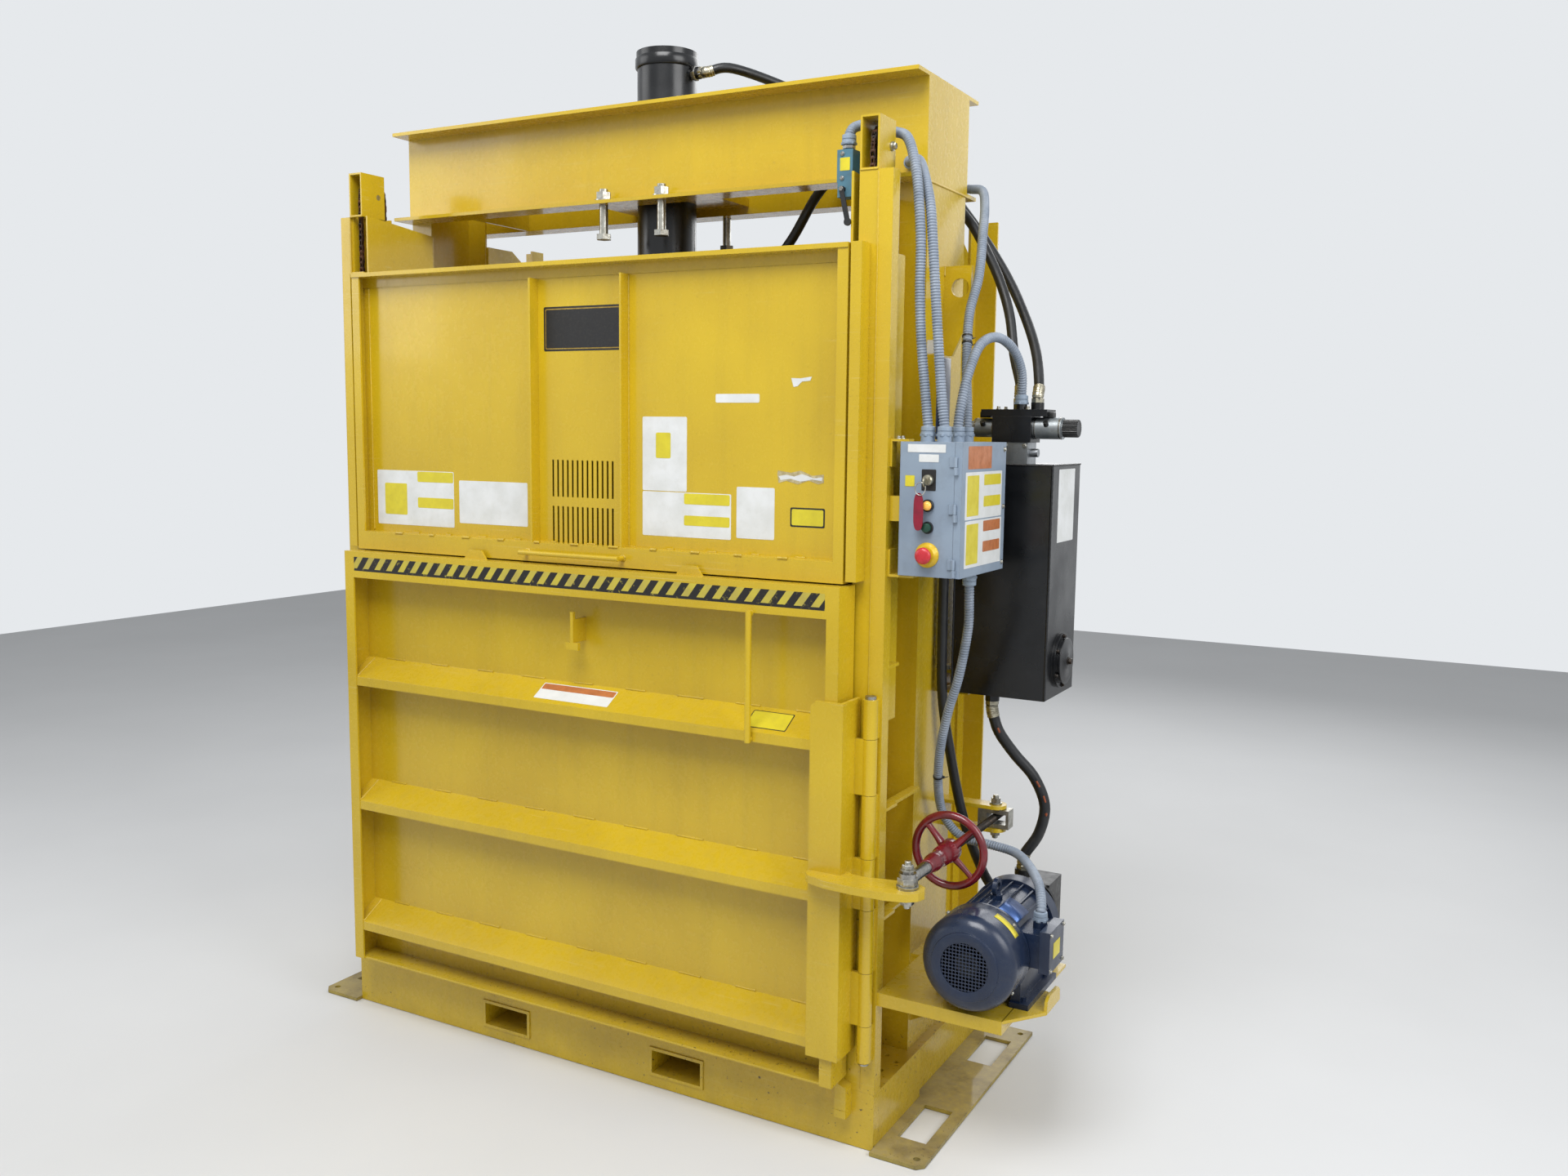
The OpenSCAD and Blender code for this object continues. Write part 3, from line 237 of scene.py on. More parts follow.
def copies(surface, places, turns=None):
    """The same surface at many places, each first turned by its own matrix where one is given."""
    vertices, faces = np.asarray(surface[0]), surface[1]
    places = np.asarray(places, float)
    moved = np.broadcast_to(vertices, (len(places), *vertices.shape))
    if turns is not None:
        moved = np.einsum("kij,knj->kni", np.asarray(turns, float), moved)
    n = len(vertices)
    every = [[i + n * k for i in f] for k in range(len(places)) for f in faces]
    return (moved + places[:, None]).reshape(-1, 3), every


def carried(profile, line, sides=24):
    """A turned ring bent along a line: rows (distance, radius), each square to the line at its distance."""
    rows = np.asarray(profile, float)
    spine, ahead, behind = (at(line, rows[:, 0] + step) for step in (0, 1.5, -1.5))
    along = unit(ahead - behind)
    side = unit(np.cross(along, (0.2, 0.9, 0.3)))
    t = 2 * np.pi * np.arange(sides) / sides
    ring = np.cos(t)[:, None] * side[:, None] + np.sin(t)[:, None] * np.cross(along, side)[:, None]
    return lattice(spine[:, None] + rows[:, 1, None, None] * ring, True, True)


def mirrored(surfaces):
    """The same surfaces on the other side of the machine's middle."""
    return [(points * [-1, 1, 1], faces) for points, faces in surfaces]


def bead(path, radius=2.6, ripple=4.5):
    """A weld bead: a half-sunk bar whose radius swells by a fifth once every ripple."""
    line, s = spaced(np.asarray(path, float), ripple / 4)
    return sweep(line, radius * (1 + 0.2 * np.abs(np.sin(np.pi * s / ripple)) + 0.06 * np.sin(0.37 * s)), 8)


def hexagon_head(centre, axis, across, height):
    """A hexagon head with its chamfer and dished middle, on a washer."""
    r = across / math.sqrt(3)
    head = [(0, 0), (0, r * 0.97), (0.8, r), (height * 0.8, r), (height, r * 0.86), (height, r * 0.4),
            (height - 0.5, 0)]
    washer = [(-0.1, r * 0.8), (-0.1, r * 1.35), (1.9, r * 1.32), (2.2, r * 0.9)]
    start = np.asarray(centre, float) + unit(axis) * 2.0
    return [lathe(head, start, axis, 6), lathe(washer, centre, axis, 24)]


def heads(centres, axis, across, height):
    """The same hexagon head at several centres."""
    return [part for centre in centres for part in hexagon_head(centre, axis, across, height)]


def collar(profile, centre, axis, sides):
    """A turned ring: the profile goes round it, and also closes on itself."""
    return lathe(profile, centre, axis, sides, closed=True)


def piece(name, surfaces, finish_name, body, replaces=(), crease=38.0):
    """One object from surfaces: joined, doubles merged, faces turned outwards, soft below the crease angle.
    It rides on a body, or on none."""
    points, faces, start = [], [], 0
    for vertices, quads in surfaces:
        points.append(vertices)
        faces += [[i + start for i in f] for f in quads] if start else list(quads)
        start += len(vertices)
    mesh = bpy.data.meshes.new(name)
    mesh.from_pydata(metres(np.vstack(points)).tolist(), [], faces)
    bm = bmesh.new()
    bm.from_mesh(mesh)
    bmesh.ops.remove_doubles(bm, verts=bm.verts, dist=2e-6)
    bmesh.ops.recalc_face_normals(bm, faces=bm.faces)
    bm.to_mesh(mesh)
    bm.free()
    mesh.polygons.foreach_set("use_smooth", np.ones(len(mesh.polygons), bool))
    mesh.set_sharp_from_angle(angle=math.radians(crease))
    mesh.materials.append(coat(finish_name))
    thing = bpy.data.objects.new(name, mesh)
    bpy.context.scene.collection.objects.link(thing)
    if body:
        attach(thing, body)
    if replaces:
        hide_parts(*replaces)
    return thing


# Finishes


def add(tree, kind, inputs=(), out=0, **settings):
    """Adds a node with its settings, joins or fills its inputs, and gives back the output that out names, if
    it has any. The inputs are in the node's own order, or a dict by name or number, and a hex colour is
    made linear."""
    node = tree.nodes.new("ShaderNode" + kind)
    for key, value in settings.items():
        setattr(node, key, value)
    for socket, value in inputs.items() if isinstance(inputs, dict) else enumerate(inputs):
        if isinstance(value, bpy.types.NodeSocket):
            tree.links.new(value, node.inputs[socket])
        else:
            node.inputs[socket].default_value = (*linear(value), 1) if isinstance(value, str) else value
    return node.outputs[out] if len(node.outputs) else None


def opened(name):
    """A new material with an empty tree, and its object coordinates in metres."""
    material = bpy.data.materials.new(name)
    material.use_nodes = True
    tree = material.node_tree
    tree.nodes.clear()
    return material, tree, add(tree, "TexCoord", out="Object")


def closed(tree, **sockets):
    """Ends the tree in a shader with these sockets. Underscores in a name stand for spaces."""
    add(tree, "OutputMaterial",
        (add(tree, "BsdfPrincipled", {k.replace("_", " "): v for k, v in sockets.items()}),))


def blotches(tree, place, size_mm, detail=3.0, stretch=None, rough=0.5):
    """Patches of noise about size_mm across, longer along an axis where stretch is below 1."""
    if stretch:
        place = add(tree, "Mapping", {"Vector": place, "Scale": stretch})
    return add(tree, "TexNoise", {"Vector": place, "Scale": 1000 / size_mm, "Detail": detail,
                                  "Roughness": rough})


def layered(tree, colour, *layers):
    """A colour with layers on it: each is a (share, colour) pair, and covers what is below by its share."""
    for share, over in layers:
        colour = add(tree, "Mix", {0: share, 6: colour, 7: over}, 2, data_type="RGBA")
    return colour


# what lies on the enamel or shows through it
DUST, FLOOR_DIRT, PALE_SCRATCH = "#9A8B62", "#5A4A2E", "#EFE3A8"
RUBBED_STEEL, RUSTY_CHIP = "#3A3229", "#3A281C"
TIMES, PLUS = dict(operation="MULTIPLY"), dict(operation="ADD")


def enamel(name, body, shade, grime, rough=0.24, soft_mm=1.6, low_dirt=0.25, chips=0.5, dust=0.22, runs=0.13,
           wave_mm=0.9):
    """Sprayed gloss enamel on steel: broad tone drift, dirt runs, dust on upward faces, rubbed edges, chips
    to the primer, orange peel and the slight waviness of welded sheet. The edges catch the light as
    sprayed edges do."""
    material, tree, place = opened(name)
    height = add(tree, "SeparateXYZ", (place,), 2)
    facing = add(tree, "NewGeometry", out="Normal")
    upward = add(tree, "SeparateXYZ", (facing,), 2)
    broad, fine = blotches(tree, place, 420, 3), blotches(tree, place, 17, 6, rough=0.62)
    run = blotches(tree, place, 42, 5, (1, 1, 0.06), 0.6)
    scratch = blotches(tree, place, 60, 2, (0.35, 1, 22), 0.5)
    edge = add(tree, "Bevel", {"Radius": soft_mm / 1000}, samples=4)

    # each share is 0 to 1, mapped from a pattern's middle range
    drift = add(tree, "MapRange", (broad, 0.35, 0.68))
    streak = add(tree, "Math", (add(tree, "MapRange", (run, 0.5, 0.78)), runs), **TIMES)
    level = add(tree, "MapRange", (upward, 0.7, 0.99))
    thickness = add(tree, "MapRange", (fine, 0.36, 0.64, dust * 0.3, dust))
    settled = add(tree, "Math", (level, thickness), **TIMES)
    low = add(tree, "MapRange", (height, 0.42, 0.02))
    patchy = blotches(tree, place, 130, 6, rough=0.65)
    patches = add(tree, "MapRange", (patchy, 0.45, 0.72, low_dirt * 0.1, low_dirt))
    floor_dirt = add(tree, "Math", (add(tree, "Math", (low, low), **TIMES), patches), **TIMES)
    lines = add(tree, "MapRange", (scratch, 0.66, 0.72))
    scuff = add(tree, "Math", (lines, add(tree, "MapRange", (broad, 0.45, 0.6, 0.0, 0.22))), **TIMES)

    # the edges are where the rounded normal leaves the face's own
    match = add(tree, "VectorMath", (edge, facing), "Value", operation="DOT_PRODUCT")
    rub = add(tree, "MapRange", (match, 0.995, 0.90))
    near_floor = add(tree, "MapRange", (height, 0.3, 0.16, 0.12, 1.0))
    worn = add(tree, "Math", (rub, add(tree, "MapRange", (fine, 0.5, 0.66, 0.0, chips))), **TIMES)
    worn = add(tree, "Math", (worn, add(tree, "Math", (near_floor, 0.6), **PLUS)), **TIMES)
    worn = add(tree, "Math", (worn, 1.0), operation="MINIMUM")
    spots = add(tree, "MapRange", (blotches(tree, place, 9, 3), 0.675, 0.69))
    flake = add(tree, "Math", (spots, add(tree, "MapRange", (broad, 0.45, 0.53))), **TIMES)
    flake = add(tree, "Math", (flake, near_floor), **TIMES)
    flake = add(tree, "Math", (flake, min(1.0, chips * 2)), **TIMES)
    colour = layered(tree, body, (drift, shade), (streak, grime), (settled, DUST), (floor_dirt, FLOOR_DIRT),
                     (scuff, PALE_SCRATCH), (worn, RUBBED_STEEL), (flake, RUSTY_CHIP))

    sheen = add(tree, "MapRange", (fine, 0.3, 0.7, rough - 0.05, rough + 0.08))
    dull = add(tree, "Math", (add(tree, "Math", (settled, floor_dirt), **PLUS), 0.35), **TIMES)
    gloss = add(tree, "Math", (sheen, add(tree, "Math", (streak, 0.25), **TIMES)), **PLUS)
    gloss = add(tree, "Math", (gloss, dull), **PLUS)
    # real orange peel is about 1 mm across and doesn't show, so it is drawn at 2.4 mm
    dent, peel = blotches(tree, place, 300, 2), blotches(tree, place, 2.4, 2)
    skin = add(tree, "Bump", {"Height": dent, "Distance": wave_mm / 1000, "Normal": edge})
    skin = add(tree, "Bump", {"Height": peel, "Distance": 1.4e-5, "Normal": skin})
    skin = add(tree, "Bump", {"Height": flake, "Distance": 2e-4, "Normal": skin}, invert=True)
    closed(tree, Base_Color=colour, Roughness=gloss, Normal=skin, IOR=1.5, Coat_Weight=0.3,
           Coat_Roughness=0.08)
    return material


def finish(name, body, shade, rough, metallic=0.0, tone_mm=40, grain_mm=1.2, depth_mm=0.03, span=0.1,
           dirt="#4A4338", dirt_share=0.2, soft_mm=0.8, stretch=None, **sockets):
    """A plain finish with its own grain: two tones in blotches, dirt in the hollows of a finer noise, uneven
    gloss and a raised grain."""
    material, tree, place = opened(name)
    tone, grain = blotches(tree, place, tone_mm, 4, stretch), blotches(tree, place, grain_mm, 3, stretch)
    spots = add(tree, "MapRange", (blotches(tree, place, tone_mm / 3, 5, rough=0.65), 0.5, 0.7))
    soiled = add(tree, "Math", (spots, dirt_share), **TIMES)
    colour = layered(tree, body, (add(tree, "MapRange", (tone, 0.35, 0.65)), shade), (soiled, dirt))
    gloss = add(tree, "MapRange", (tone, 0.3, 0.7, rough - span, rough + span))
    edge = add(tree, "Bevel", {"Radius": soft_mm / 1000}, samples=3)
    skin = add(tree, "Bump", {"Height": grain, "Distance": depth_mm / 1000, "Normal": edge})
    closed(tree, Base_Color=colour, Roughness=gloss, Metallic=metallic, Normal=skin, **sockets)
    return material


# the hazard tape's middle height, its width, and the width of the black line along its foot, in machine mm
TAPE_Z, TAPE_HIGH, TAPE_LINE = 1406, 41, 7


def striped_tape():
    """Printed vinyl hazard tape: black bars that lean to the right over pale yellow, with a black line along
    its foot. A bar is where the fraction of (x - lean z) / pitch is below the bars' share."""
    sizes = bpy.context.scene.baler_sizes
    material, tree, place = opened("hazard_vinyl")
    x, z = add(tree, "SeparateXYZ", (place,)), add(tree, "SeparateXYZ", (place,), 2)
    slid = add(tree, "Math", (x, add(tree, "Math", (z, sizes.stripe_lean), **TIMES)), operation="SUBTRACT")
    pitches = add(tree, "Math", (slid, sizes.stripe_pitch), operation="DIVIDE")
    beat = add(tree, "Math", (pitches,), operation="FRACT")
    bar = add(tree, "Math", (beat, sizes.stripe_share), operation="LESS_THAN")
    foot = add(tree, "Math", (z, (TAPE_Z - TAPE_HIGH / 2 + TAPE_LINE) / 1000), operation="LESS_THAN")
    worn = add(tree, "MapRange", (blotches(tree, place, 14, 5, rough=0.7), 0.60, 0.68, 1.0, 0.35))
    dark = add(tree, "Math", (add(tree, "Math", (bar, foot), operation="MAXIMUM"), worn), **TIMES)
    faded = add(tree, "MapRange", (blotches(tree, place, 70, 4), 0.35, 0.65))
    colour = layered(tree, "#C6B63C", (faded, "#AFA04A"), (dark, "#181512"))
    skin = add(tree, "Bump", {"Height": blotches(tree, place, 3, 2), "Distance": 4e-5})
    gloss = add(tree, "MapRange", (worn, 0.3, 1.0, 0.6, 0.38))
    closed(tree, Base_Color=colour, Roughness=gloss, Normal=skin)
    return material


def rusty_chain():
    """Oiled roller chain gone brown: dark steel with rust in blotches, dull and rough where it has rusted."""
    material, tree, place = opened("oiled_chain_steel")
    rust = add(tree, "MapRange", (blotches(tree, place, 22, 6, rough=0.65), 0.42, 0.62))
    colour = layered(tree, "#3A3330", (rust, "#6E4A36"))
    skin = add(tree, "Bump", {"Height": blotches(tree, place, 1.5, 3), "Distance": 1.2e-4})
    gloss = add(tree, "MapRange", (rust, 0, 1, 0.38, 0.75))
    closed(tree, Base_Color=colour, Metallic=0.7, Roughness=gloss, Normal=skin)
    return material


def lamp_lens():
    """Moulded amber lens of the pilot lamp: clear tinted plastic with fine ribs, a little lit from inside."""
    material, tree, place = opened("amber_lens")
    ribs = add(tree, "Bump", {"Height": blotches(tree, place, 1.0, 1, (1, 0.1, 1)), "Distance": 1e-4})
    closed(tree, Base_Color="#EDB656", Roughness=0.18, Normal=ribs, Subsurface_Weight=0.3,
           Subsurface_Scale=0.004, Emission_Color="#F2B04A", Emission_Strength=0.25)
    return material


# Each finish: what the real one is and how it was made, and what that gives the eye.
ENAMELS = {
    # two-pack machinery enamel, sprayed: an even gloss yellow, rubbed dark at the edges and grimy low down
    "yellow_enamel": dict(body="#CFB01E", shade="#C2A31C", grime="#86752A"),
    # the same enamel, scoured by waste board: duller, in streaks, with the steel showing through it
    "worn_enamel": dict(body="#BFA42C", shade="#8F8038", grime="#4F4630", rough=0.42, chips=1.0, runs=0.6),
    # the same enamel, walked on: matt under boot dirt
    "trodden_enamel": dict(body="#B49C35", shade="#857A48", grime="#4F4A3A", rough=0.5, chips=1.0,
                           low_dirt=0.75, dust=0.8, runs=0.3),
    # enamel over arc-welded beads: a shade deeper, with dirt held in the ripples
    "weld_enamel": dict(body="#C9AA1C", shade="#B4951A", grime="#6B5C22", rough=0.3, soft_mm=0.5, wave_mm=0.2,
                        runs=0.3),
}
# grain_mm is the size of a surface's own grain. A moulding's, a film's or a plating's is under 0.5 mm, too
# fine to show, so it is drawn coarser.
PLAIN = {
    # zinc electroplate on turned screws and pins: bright grey with a faint warm cast
    "zinc_plate": dict(body="#B9B8B0", shade="#98958B", rough=0.34, metallic=1.0, tone_mm=14,
                       dirt_share=0.35),
    # bare machined steel: grey shine in small uneven patches
    "bright_steel": dict(body="#A9A8A4", shade="#8B8984", rough=0.3, metallic=1.0, tone_mm=18,
                         dirt_share=0.3),
    # hot-rolled bar, blackened and oiled: dark with brown stains
    "dark_bar_steel": dict(body="#3B3733", shade="#282523", rough=0.42, metallic=0.85, tone_mm=30,
                           dirt="#5A3D25", dirt_share=0.35),
    # crimped steel with a yellow passivate: warm silver, grimy in its grooves
    "crimped_steel": dict(body="#BDB8A4", shade="#9A9482", rough=0.36, metallic=1.0, tone_mm=9,
                          dirt_share=0.4),
    # hard chrome, ground and polished: a clean mirror shine
    "hard_chrome": dict(body="#C9CBCC", shade="#B4B7B9", rough=0.14, metallic=1.0, span=0.04,
                        dirt_share=0.05),
    # milled aluminium: pale silver with fine upright tool lines
    "milled_aluminium": dict(body="#B7BABD", shade="#9DA1A4", rough=0.36, metallic=1.0, grain_mm=0.9,
                             stretch=(1, 1, 0.1), dirt_share=0.2),
    # die-cast zinc coil cans: dull silver with a soft grain
    "cast_coil_can": dict(body="#9EA3A6", shade="#7F8588", rough=0.45, metallic=0.8, grain_mm=1.6,
                          depth_mm=0.07),
    # black gloss enamel on pressed steel: near black, with pale dust in blotches
    "black_enamel": dict(body="#07080A", shade="#0C0E12", rough=0.27, tone_mm=130, grain_mm=2.6,
                         depth_mm=0.05, dirt="#26282C", dirt_share=0.22, soft_mm=2.0),
    # machine enamel over cast iron: deep grey-blue, soft at the edges, slightly pebbled by the casting
    "motor_enamel": dict(body="#1B2942", shade="#152138", rough=0.3, tone_mm=70, grain_mm=2.6, depth_mm=0.06,
                         dirt="#3C4450", dirt_share=0.22, soft_mm=1.5),
    # thick enamel over rough iron: deep red, glossy, with lumps that catch the light
    "wheel_enamel": dict(body="#7A1420", shade="#5E0D18", rough=0.27, tone_mm=40, grain_mm=4, depth_mm=0.12,
                         dirt="#2A0C0E", dirt_share=0.35, soft_mm=1.5, Coat_Weight=0.4, Coat_Roughness=0.12),
    # sprayed enamel on a small casting: blue-grey and half matt
    "switch_enamel": dict(body="#4E7A8C", shade="#43697A", rough=0.46, tone_mm=30, grain_mm=1.4,
                          depth_mm=0.05),
    # powder coat, baked: cool light grey with a fine pebble and a low, even sheen
    "grey_powder_coat": dict(body="#8E9DAD", shade="#8493A5", rough=0.42, tone_mm=160, grain_mm=1.5,
                             depth_mm=0.035, dirt="#6B727A", dirt_share=0.25, soft_mm=2.4, span=0.05),
    # moulded polyamide: a fine even grain under a soft shine, in the colour of each part
    "black_moulding": dict(body="#0B0C0D", shade="#121315", rough=0.4, tone_mm=20, grain_mm=0.9,
                           depth_mm=0.02),
    "yellow_moulding": dict(body="#D9B520", shade="#C9A41C", rough=0.35, tone_mm=18, dirt_share=0.15),
    "red_moulding": dict(body="#C8313A", shade="#B3242F", rough=0.32, tone_mm=16, dirt_share=0.12),
    "green_moulding": dict(body="#1C4A38", shade="#143528", rough=0.34, tone_mm=12, dirt_share=0.1),
    # corrugated polyamide tube: chalky grey, dusty between the ribs
    "grey_conduit": dict(body="#8E98A6", shade="#7C8796", rough=0.45, tone_mm=50, grain_mm=1.2,
                         dirt="#555B64", dirt_share=0.3),
    # extruded nitrile rubber: smooth black with a dull bloom
    "hose_cover": dict(body="#0E1012", shade="#17191C", rough=0.42, tone_mm=60, grain_mm=1.6, depth_mm=0.05,
                       dirt="#30302E", dirt_share=0.3),
    # ink rolled on to rubber: faded orange, rubbed thin
    "rust_mark": dict(body="#A2502A", shade="#7C3C22", rough=0.55, tone_mm=10, dirt_share=0.5),
    # flexible vinyl tag: dark red, smooth and slightly cloudy
    "tag_vinyl": dict(body="#8F1630", shade="#7A1028", rough=0.38, tone_mm=20, dirt_share=0.15),
    # cut vinyl film: flat fields of colour with a plastic sheen and grey finger marks
    "white_vinyl": dict(body="#E2E4E4", shade="#D6D8D6", rough=0.38, tone_mm=60, dirt="#A9A596",
                        dirt_share=0.12),
    "yellow_vinyl": dict(body="#DACC32", shade="#CFC02E", rough=0.36, tone_mm=40, dirt="#8B8040",
                         dirt_share=0.12),
    "orange_vinyl": dict(body="#BE7444", shade="#AB6639", rough=0.4, tone_mm=24, dirt="#7E4E30",
                         dirt_share=0.3),
    "black_vinyl": dict(body="#0B0B0D", shade="#121112", rough=0.5, tone_mm=24, dirt="#4A4438",
                        dirt_share=0.2),
    # metallised film: a thin gold line with a soft metal shine
    "gold_foil": dict(body="#B79A4C", shade="#9C803A", rough=0.35, metallic=0.7, tone_mm=18, dirt_share=0.3),
    # dyed aluminium foil: half-metal blue that turns bright where it faces a lamp
    "blue_foil": dict(body="#3F5C90", shade="#31497A", rough=0.3, metallic=0.5, tone_mm=30, dirt_share=0.2),
    # torn backing paper, gone brown: matt and fibrous
    "paper_scrap": dict(body="#C9BC93", shade="#AA9B70", rough=0.75, tone_mm=10, dirt_share=0.5),
}
OTHERS = {"hazard_vinyl": striped_tape, "oiled_chain_steel": rusty_chain, "amber_lens": lamp_lens}


def coat(name):
    """The named finish, made the first time that it is asked for."""
    if name not in bpy.data.materials:
        if name in ENAMELS:
            enamel(name, **ENAMELS[name])
        elif name in PLAIN:
            finish(name, **PLAIN[name])
        else:
            OTHERS[name]()
    return bpy.data.materials[name]


# CAD nodes that stay: what each is finished in
PAINTED = {
    "yellow_enamel": ("base_frame", "side_walls", "back_wall", "front_posts", "columns", "crown_channels",
                      "sprocket_housings", "lifting_eyes", "guide_bars", "equipment_brackets", "motor_shelf",
                      "hinge_knuckles", "screw_anchor", "gate_frame", "gate_panels", "lower_door",
                      "latch_bar"),
    "worn_enamel": ("platen",),
    "trodden_enamel": ("foot_plates",),
    "zinc_plate": ("pivot_pins", "screw_nut", "crown_bolts"),
    "bright_steel": ("screw_swivel",),
    "black_enamel": ("ram_cylinder", "oil_tank", "valve_body"),
    "hard_chrome": ("piston_rod",),
    "milled_aluminium": ("valve_manifold",),
    "cast_coil_can": ("valve_coils",),
    "motor_enamel": ("motor_body", "motor_fan_cover"),
    "black_moulding": ("motor_fan", "hydraulic_pump", "limit_switch_lever"),
    "grey_powder_coat": ("control_box", "control_box_lid"),
    "switch_enamel": ("limit_switch",),
    "oiled_chain_steel": ("left_sprocket", "right_sprocket", "gate_chains", "weight_chains", "chain_wraps"),
    "dark_bar_steel": ("left_counterweight", "right_counterweight", "latch_screw"),
    "yellow_moulding": ("stop_button_collar",),
    "red_moulding": ("stop_button",),
    "amber_lens": ("pilot_light",),
    "green_moulding": ("push_button",),
    "wheel_enamel": ("handwheel",),
    "grey_conduit": ("conduit_switch", "conduit_lamp", "conduit_crown", "conduit_valve", "conduit_motor"),
    "hose_cover": ("hose_raise", "hose_lower", "hose_suction", "hose_return"),
    "crimped_steel": ("key_switch",),
}

# Routes of the conduits and hoses, in machine millimetres

ROUTES = {
    "conduit_switch": [(972, 60, 1806), (972, 60, 1822), (963, 60, 1900), (951, 56, 2022), (946, 52, 2136),
                       (946, 50, 2248), (938, 54, 2342), (920, 72, 2425), (884, 104, 2506), (835, 130, 2532),
                       (790, 100, 2546), (769, 50, 2532), (SWITCH_X, 28, SWITCH_Z + 126),
                       (SWITCH_X, 28, SWITCH_Z + 108)],
    "conduit_lamp": [(1014, 60, 1806), (1014, 60, 1822), (1004, 60, 1900), (994, 56, 2021), (984, 56, 2134),
                     (973, 60, 2247), (957, 76, 2343), (922, 116, 2425), (880, 180, 2470), (838, 226, 2482),
                     (830, 244, 2480), (830, 258, 2480)],
    "conduit_crown": [(1005, 230, 1806), (1005, 230, 1822), (998, 245, 1880), (976, 290, 1981),
                      (960, 340, 2109), (961, 398, 2211), (945, 460, 2323), (926, 520, 2407),
                      (897, 575, 2458), (852, 600, 2470), (822, 576, 2474), (818, 546, 2474),
                      (818, 532, 2474)],
    "conduit_valve": [(1012, 150, 1806), (1012, 150, 1822), (1013, 165, 1881), (1018, 200, 1963),
                      (1027, 250, 2029), (1047, 310, 2050), (1068, 370, 2025), (1076, 420, 1971),
                      (1070, 446, 1908), (1070, 446, 1890)],
    "conduit_motor": [(1034, 200, 1456), (1034, 200, 1440), (1034, 203, 1395), (1028, 215, 1320),
                      (1002, 230, 1198), (968, 250, 1100), (940, 275, 1000), (921, 310, 900), (914, 352, 815),
                      (930, 375, 762), (972, 384, 728), (1050, 382, 722), (1120, 370, 716), (1180, 300, 712),
                      (1236, 210, 700), (1260, 160, 668), (1262, 150, 650), (1262, 150, 634)],
    "hose_raise": [(111, RAM_Y, 2812), (125, RAM_Y, 2812), (141, RAM_Y, 2812), (196, 440, 2824),
                   (310, 590, 2785), (520, 690, 2680), (700, 715, 2540), (805, 706, 2421), (896, 685, 2305),
                   (969, 645, 2203), (1033, 590, 2101), (1075, 540, 2020), (1102, 488, 1941),
                   (1106, 470, 1912), (1106, 470, 1892)],
    "hose_lower": [(111, RAM_Y, 2150), (125, RAM_Y, 2150), (141, RAM_Y, 2151), (230, 400, 2182),
                   (330, 410, 2260), (400, 420, 2340), (470, 432, 2455), (515, 470, 2515), (560, 527, 2530),
                   (650, 600, 2515), (760, 640, 2465), (835, 640, 2395), (893, 625, 2311), (946, 600, 2220),
                   (986, 572, 2127), (1017, 530, 2020), (1048, 494, 1945), (1052, 486, 1912),
                   (1052, 486, 1892)],
    "hose_suction": [(1014, 452, 1098), (1014, 452, 1080), (1018, 458, 1052), (1034, 464, 1008),
                     (1070, 490, 948), (1118, 515, 885), (1147, 525, 808), (1135, 520, 731), (1102, 508, 672),
                     (1098, 506, 648), (1098, 506, 630)],
    "hose_return": [(1010, 465, 1762), (994, 465, 1762), (956, 462, 1766), (916, 443, 1759), (896, 400, 1705),
                    (896, 376, 1600), (896, 376, 1450), (896, 376, 1300), (898, 376, 1150), (903, 390, 1050),
                    (912, 410, 960), (925, 430, 860), (945, 445, 760), (968, 470, 670), (994, 498, 590),
                    (1020, 506, 556), (1044, 506, 552), (1062, 506, 552)],
}


# Sizes and colours that a user would change


class BalerSizes(bpy.types.PropertyGroup):
    """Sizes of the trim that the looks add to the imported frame."""

    camera_lens: FloatProperty(name="Lens", description="Focal length on a 36 mm sensor", default=30.19,
                               min=10, max=200)
    camera_place: FloatVectorProperty(name="Place", description="Where the camera stands",
                                      subtype="TRANSLATION", size=3, default=(2.1924, -3.2733, 1.8152))
    camera_azimuth: FloatProperty(name="Azimuth", description="Camera's turn round the machine",
                                  subtype="ANGLE", default=math.radians(28.752))
    camera_elevation: FloatProperty(name="Elevation", description="Camera's angle above the horizon",
                                    subtype="ANGLE", default=math.radians(6.880))
    camera_roll: FloatProperty(name="Roll", description="Camera's turn about its own line of sight",
                               subtype="ANGLE", default=math.radians(0.698))
    conduit: FloatProperty(name="Conduit", description="Outside diameter of the grey conduits", unit="LENGTH",
                           default=0.025)
    conduit_rib: FloatProperty(name="Conduit rib", description="Distance from one conduit rib to the next",
                               unit="LENGTH", default=0.007)
    hose: FloatProperty(name="Hose", description="Outside diameter of the pressure hoses", unit="LENGTH",
                        default=0.027)
    suction_hose: FloatProperty(name="Suction hose", description="Outside diameter of the suction hose",
                                unit="LENGTH", default=0.030)
    chain_pitch: FloatProperty(name="Chain pitch", description="Distance between chain pins", unit="LENGTH",
                               default=0.016)
    stripe_pitch: FloatProperty(name="Stripe pitch", description="Distance between hazard bars",
                                unit="LENGTH", default=0.0465)
    stripe_share: FloatProperty(name="Stripe share", description="Black part of the stripe pitch",
                                default=0.52)
    stripe_lean: FloatProperty(name="Stripe lean", description="Sideways run of a hazard bar for its height",
                               default=0.75)
    thread: FloatProperty(name="Thread", description="Pitch of the latch screw's thread", unit="LENGTH",
                          default=0.006)
    wheel_sides: IntProperty(name="Wheel sides", description="Points round the handwheel rim", default=72,
                             min=24, max=144)


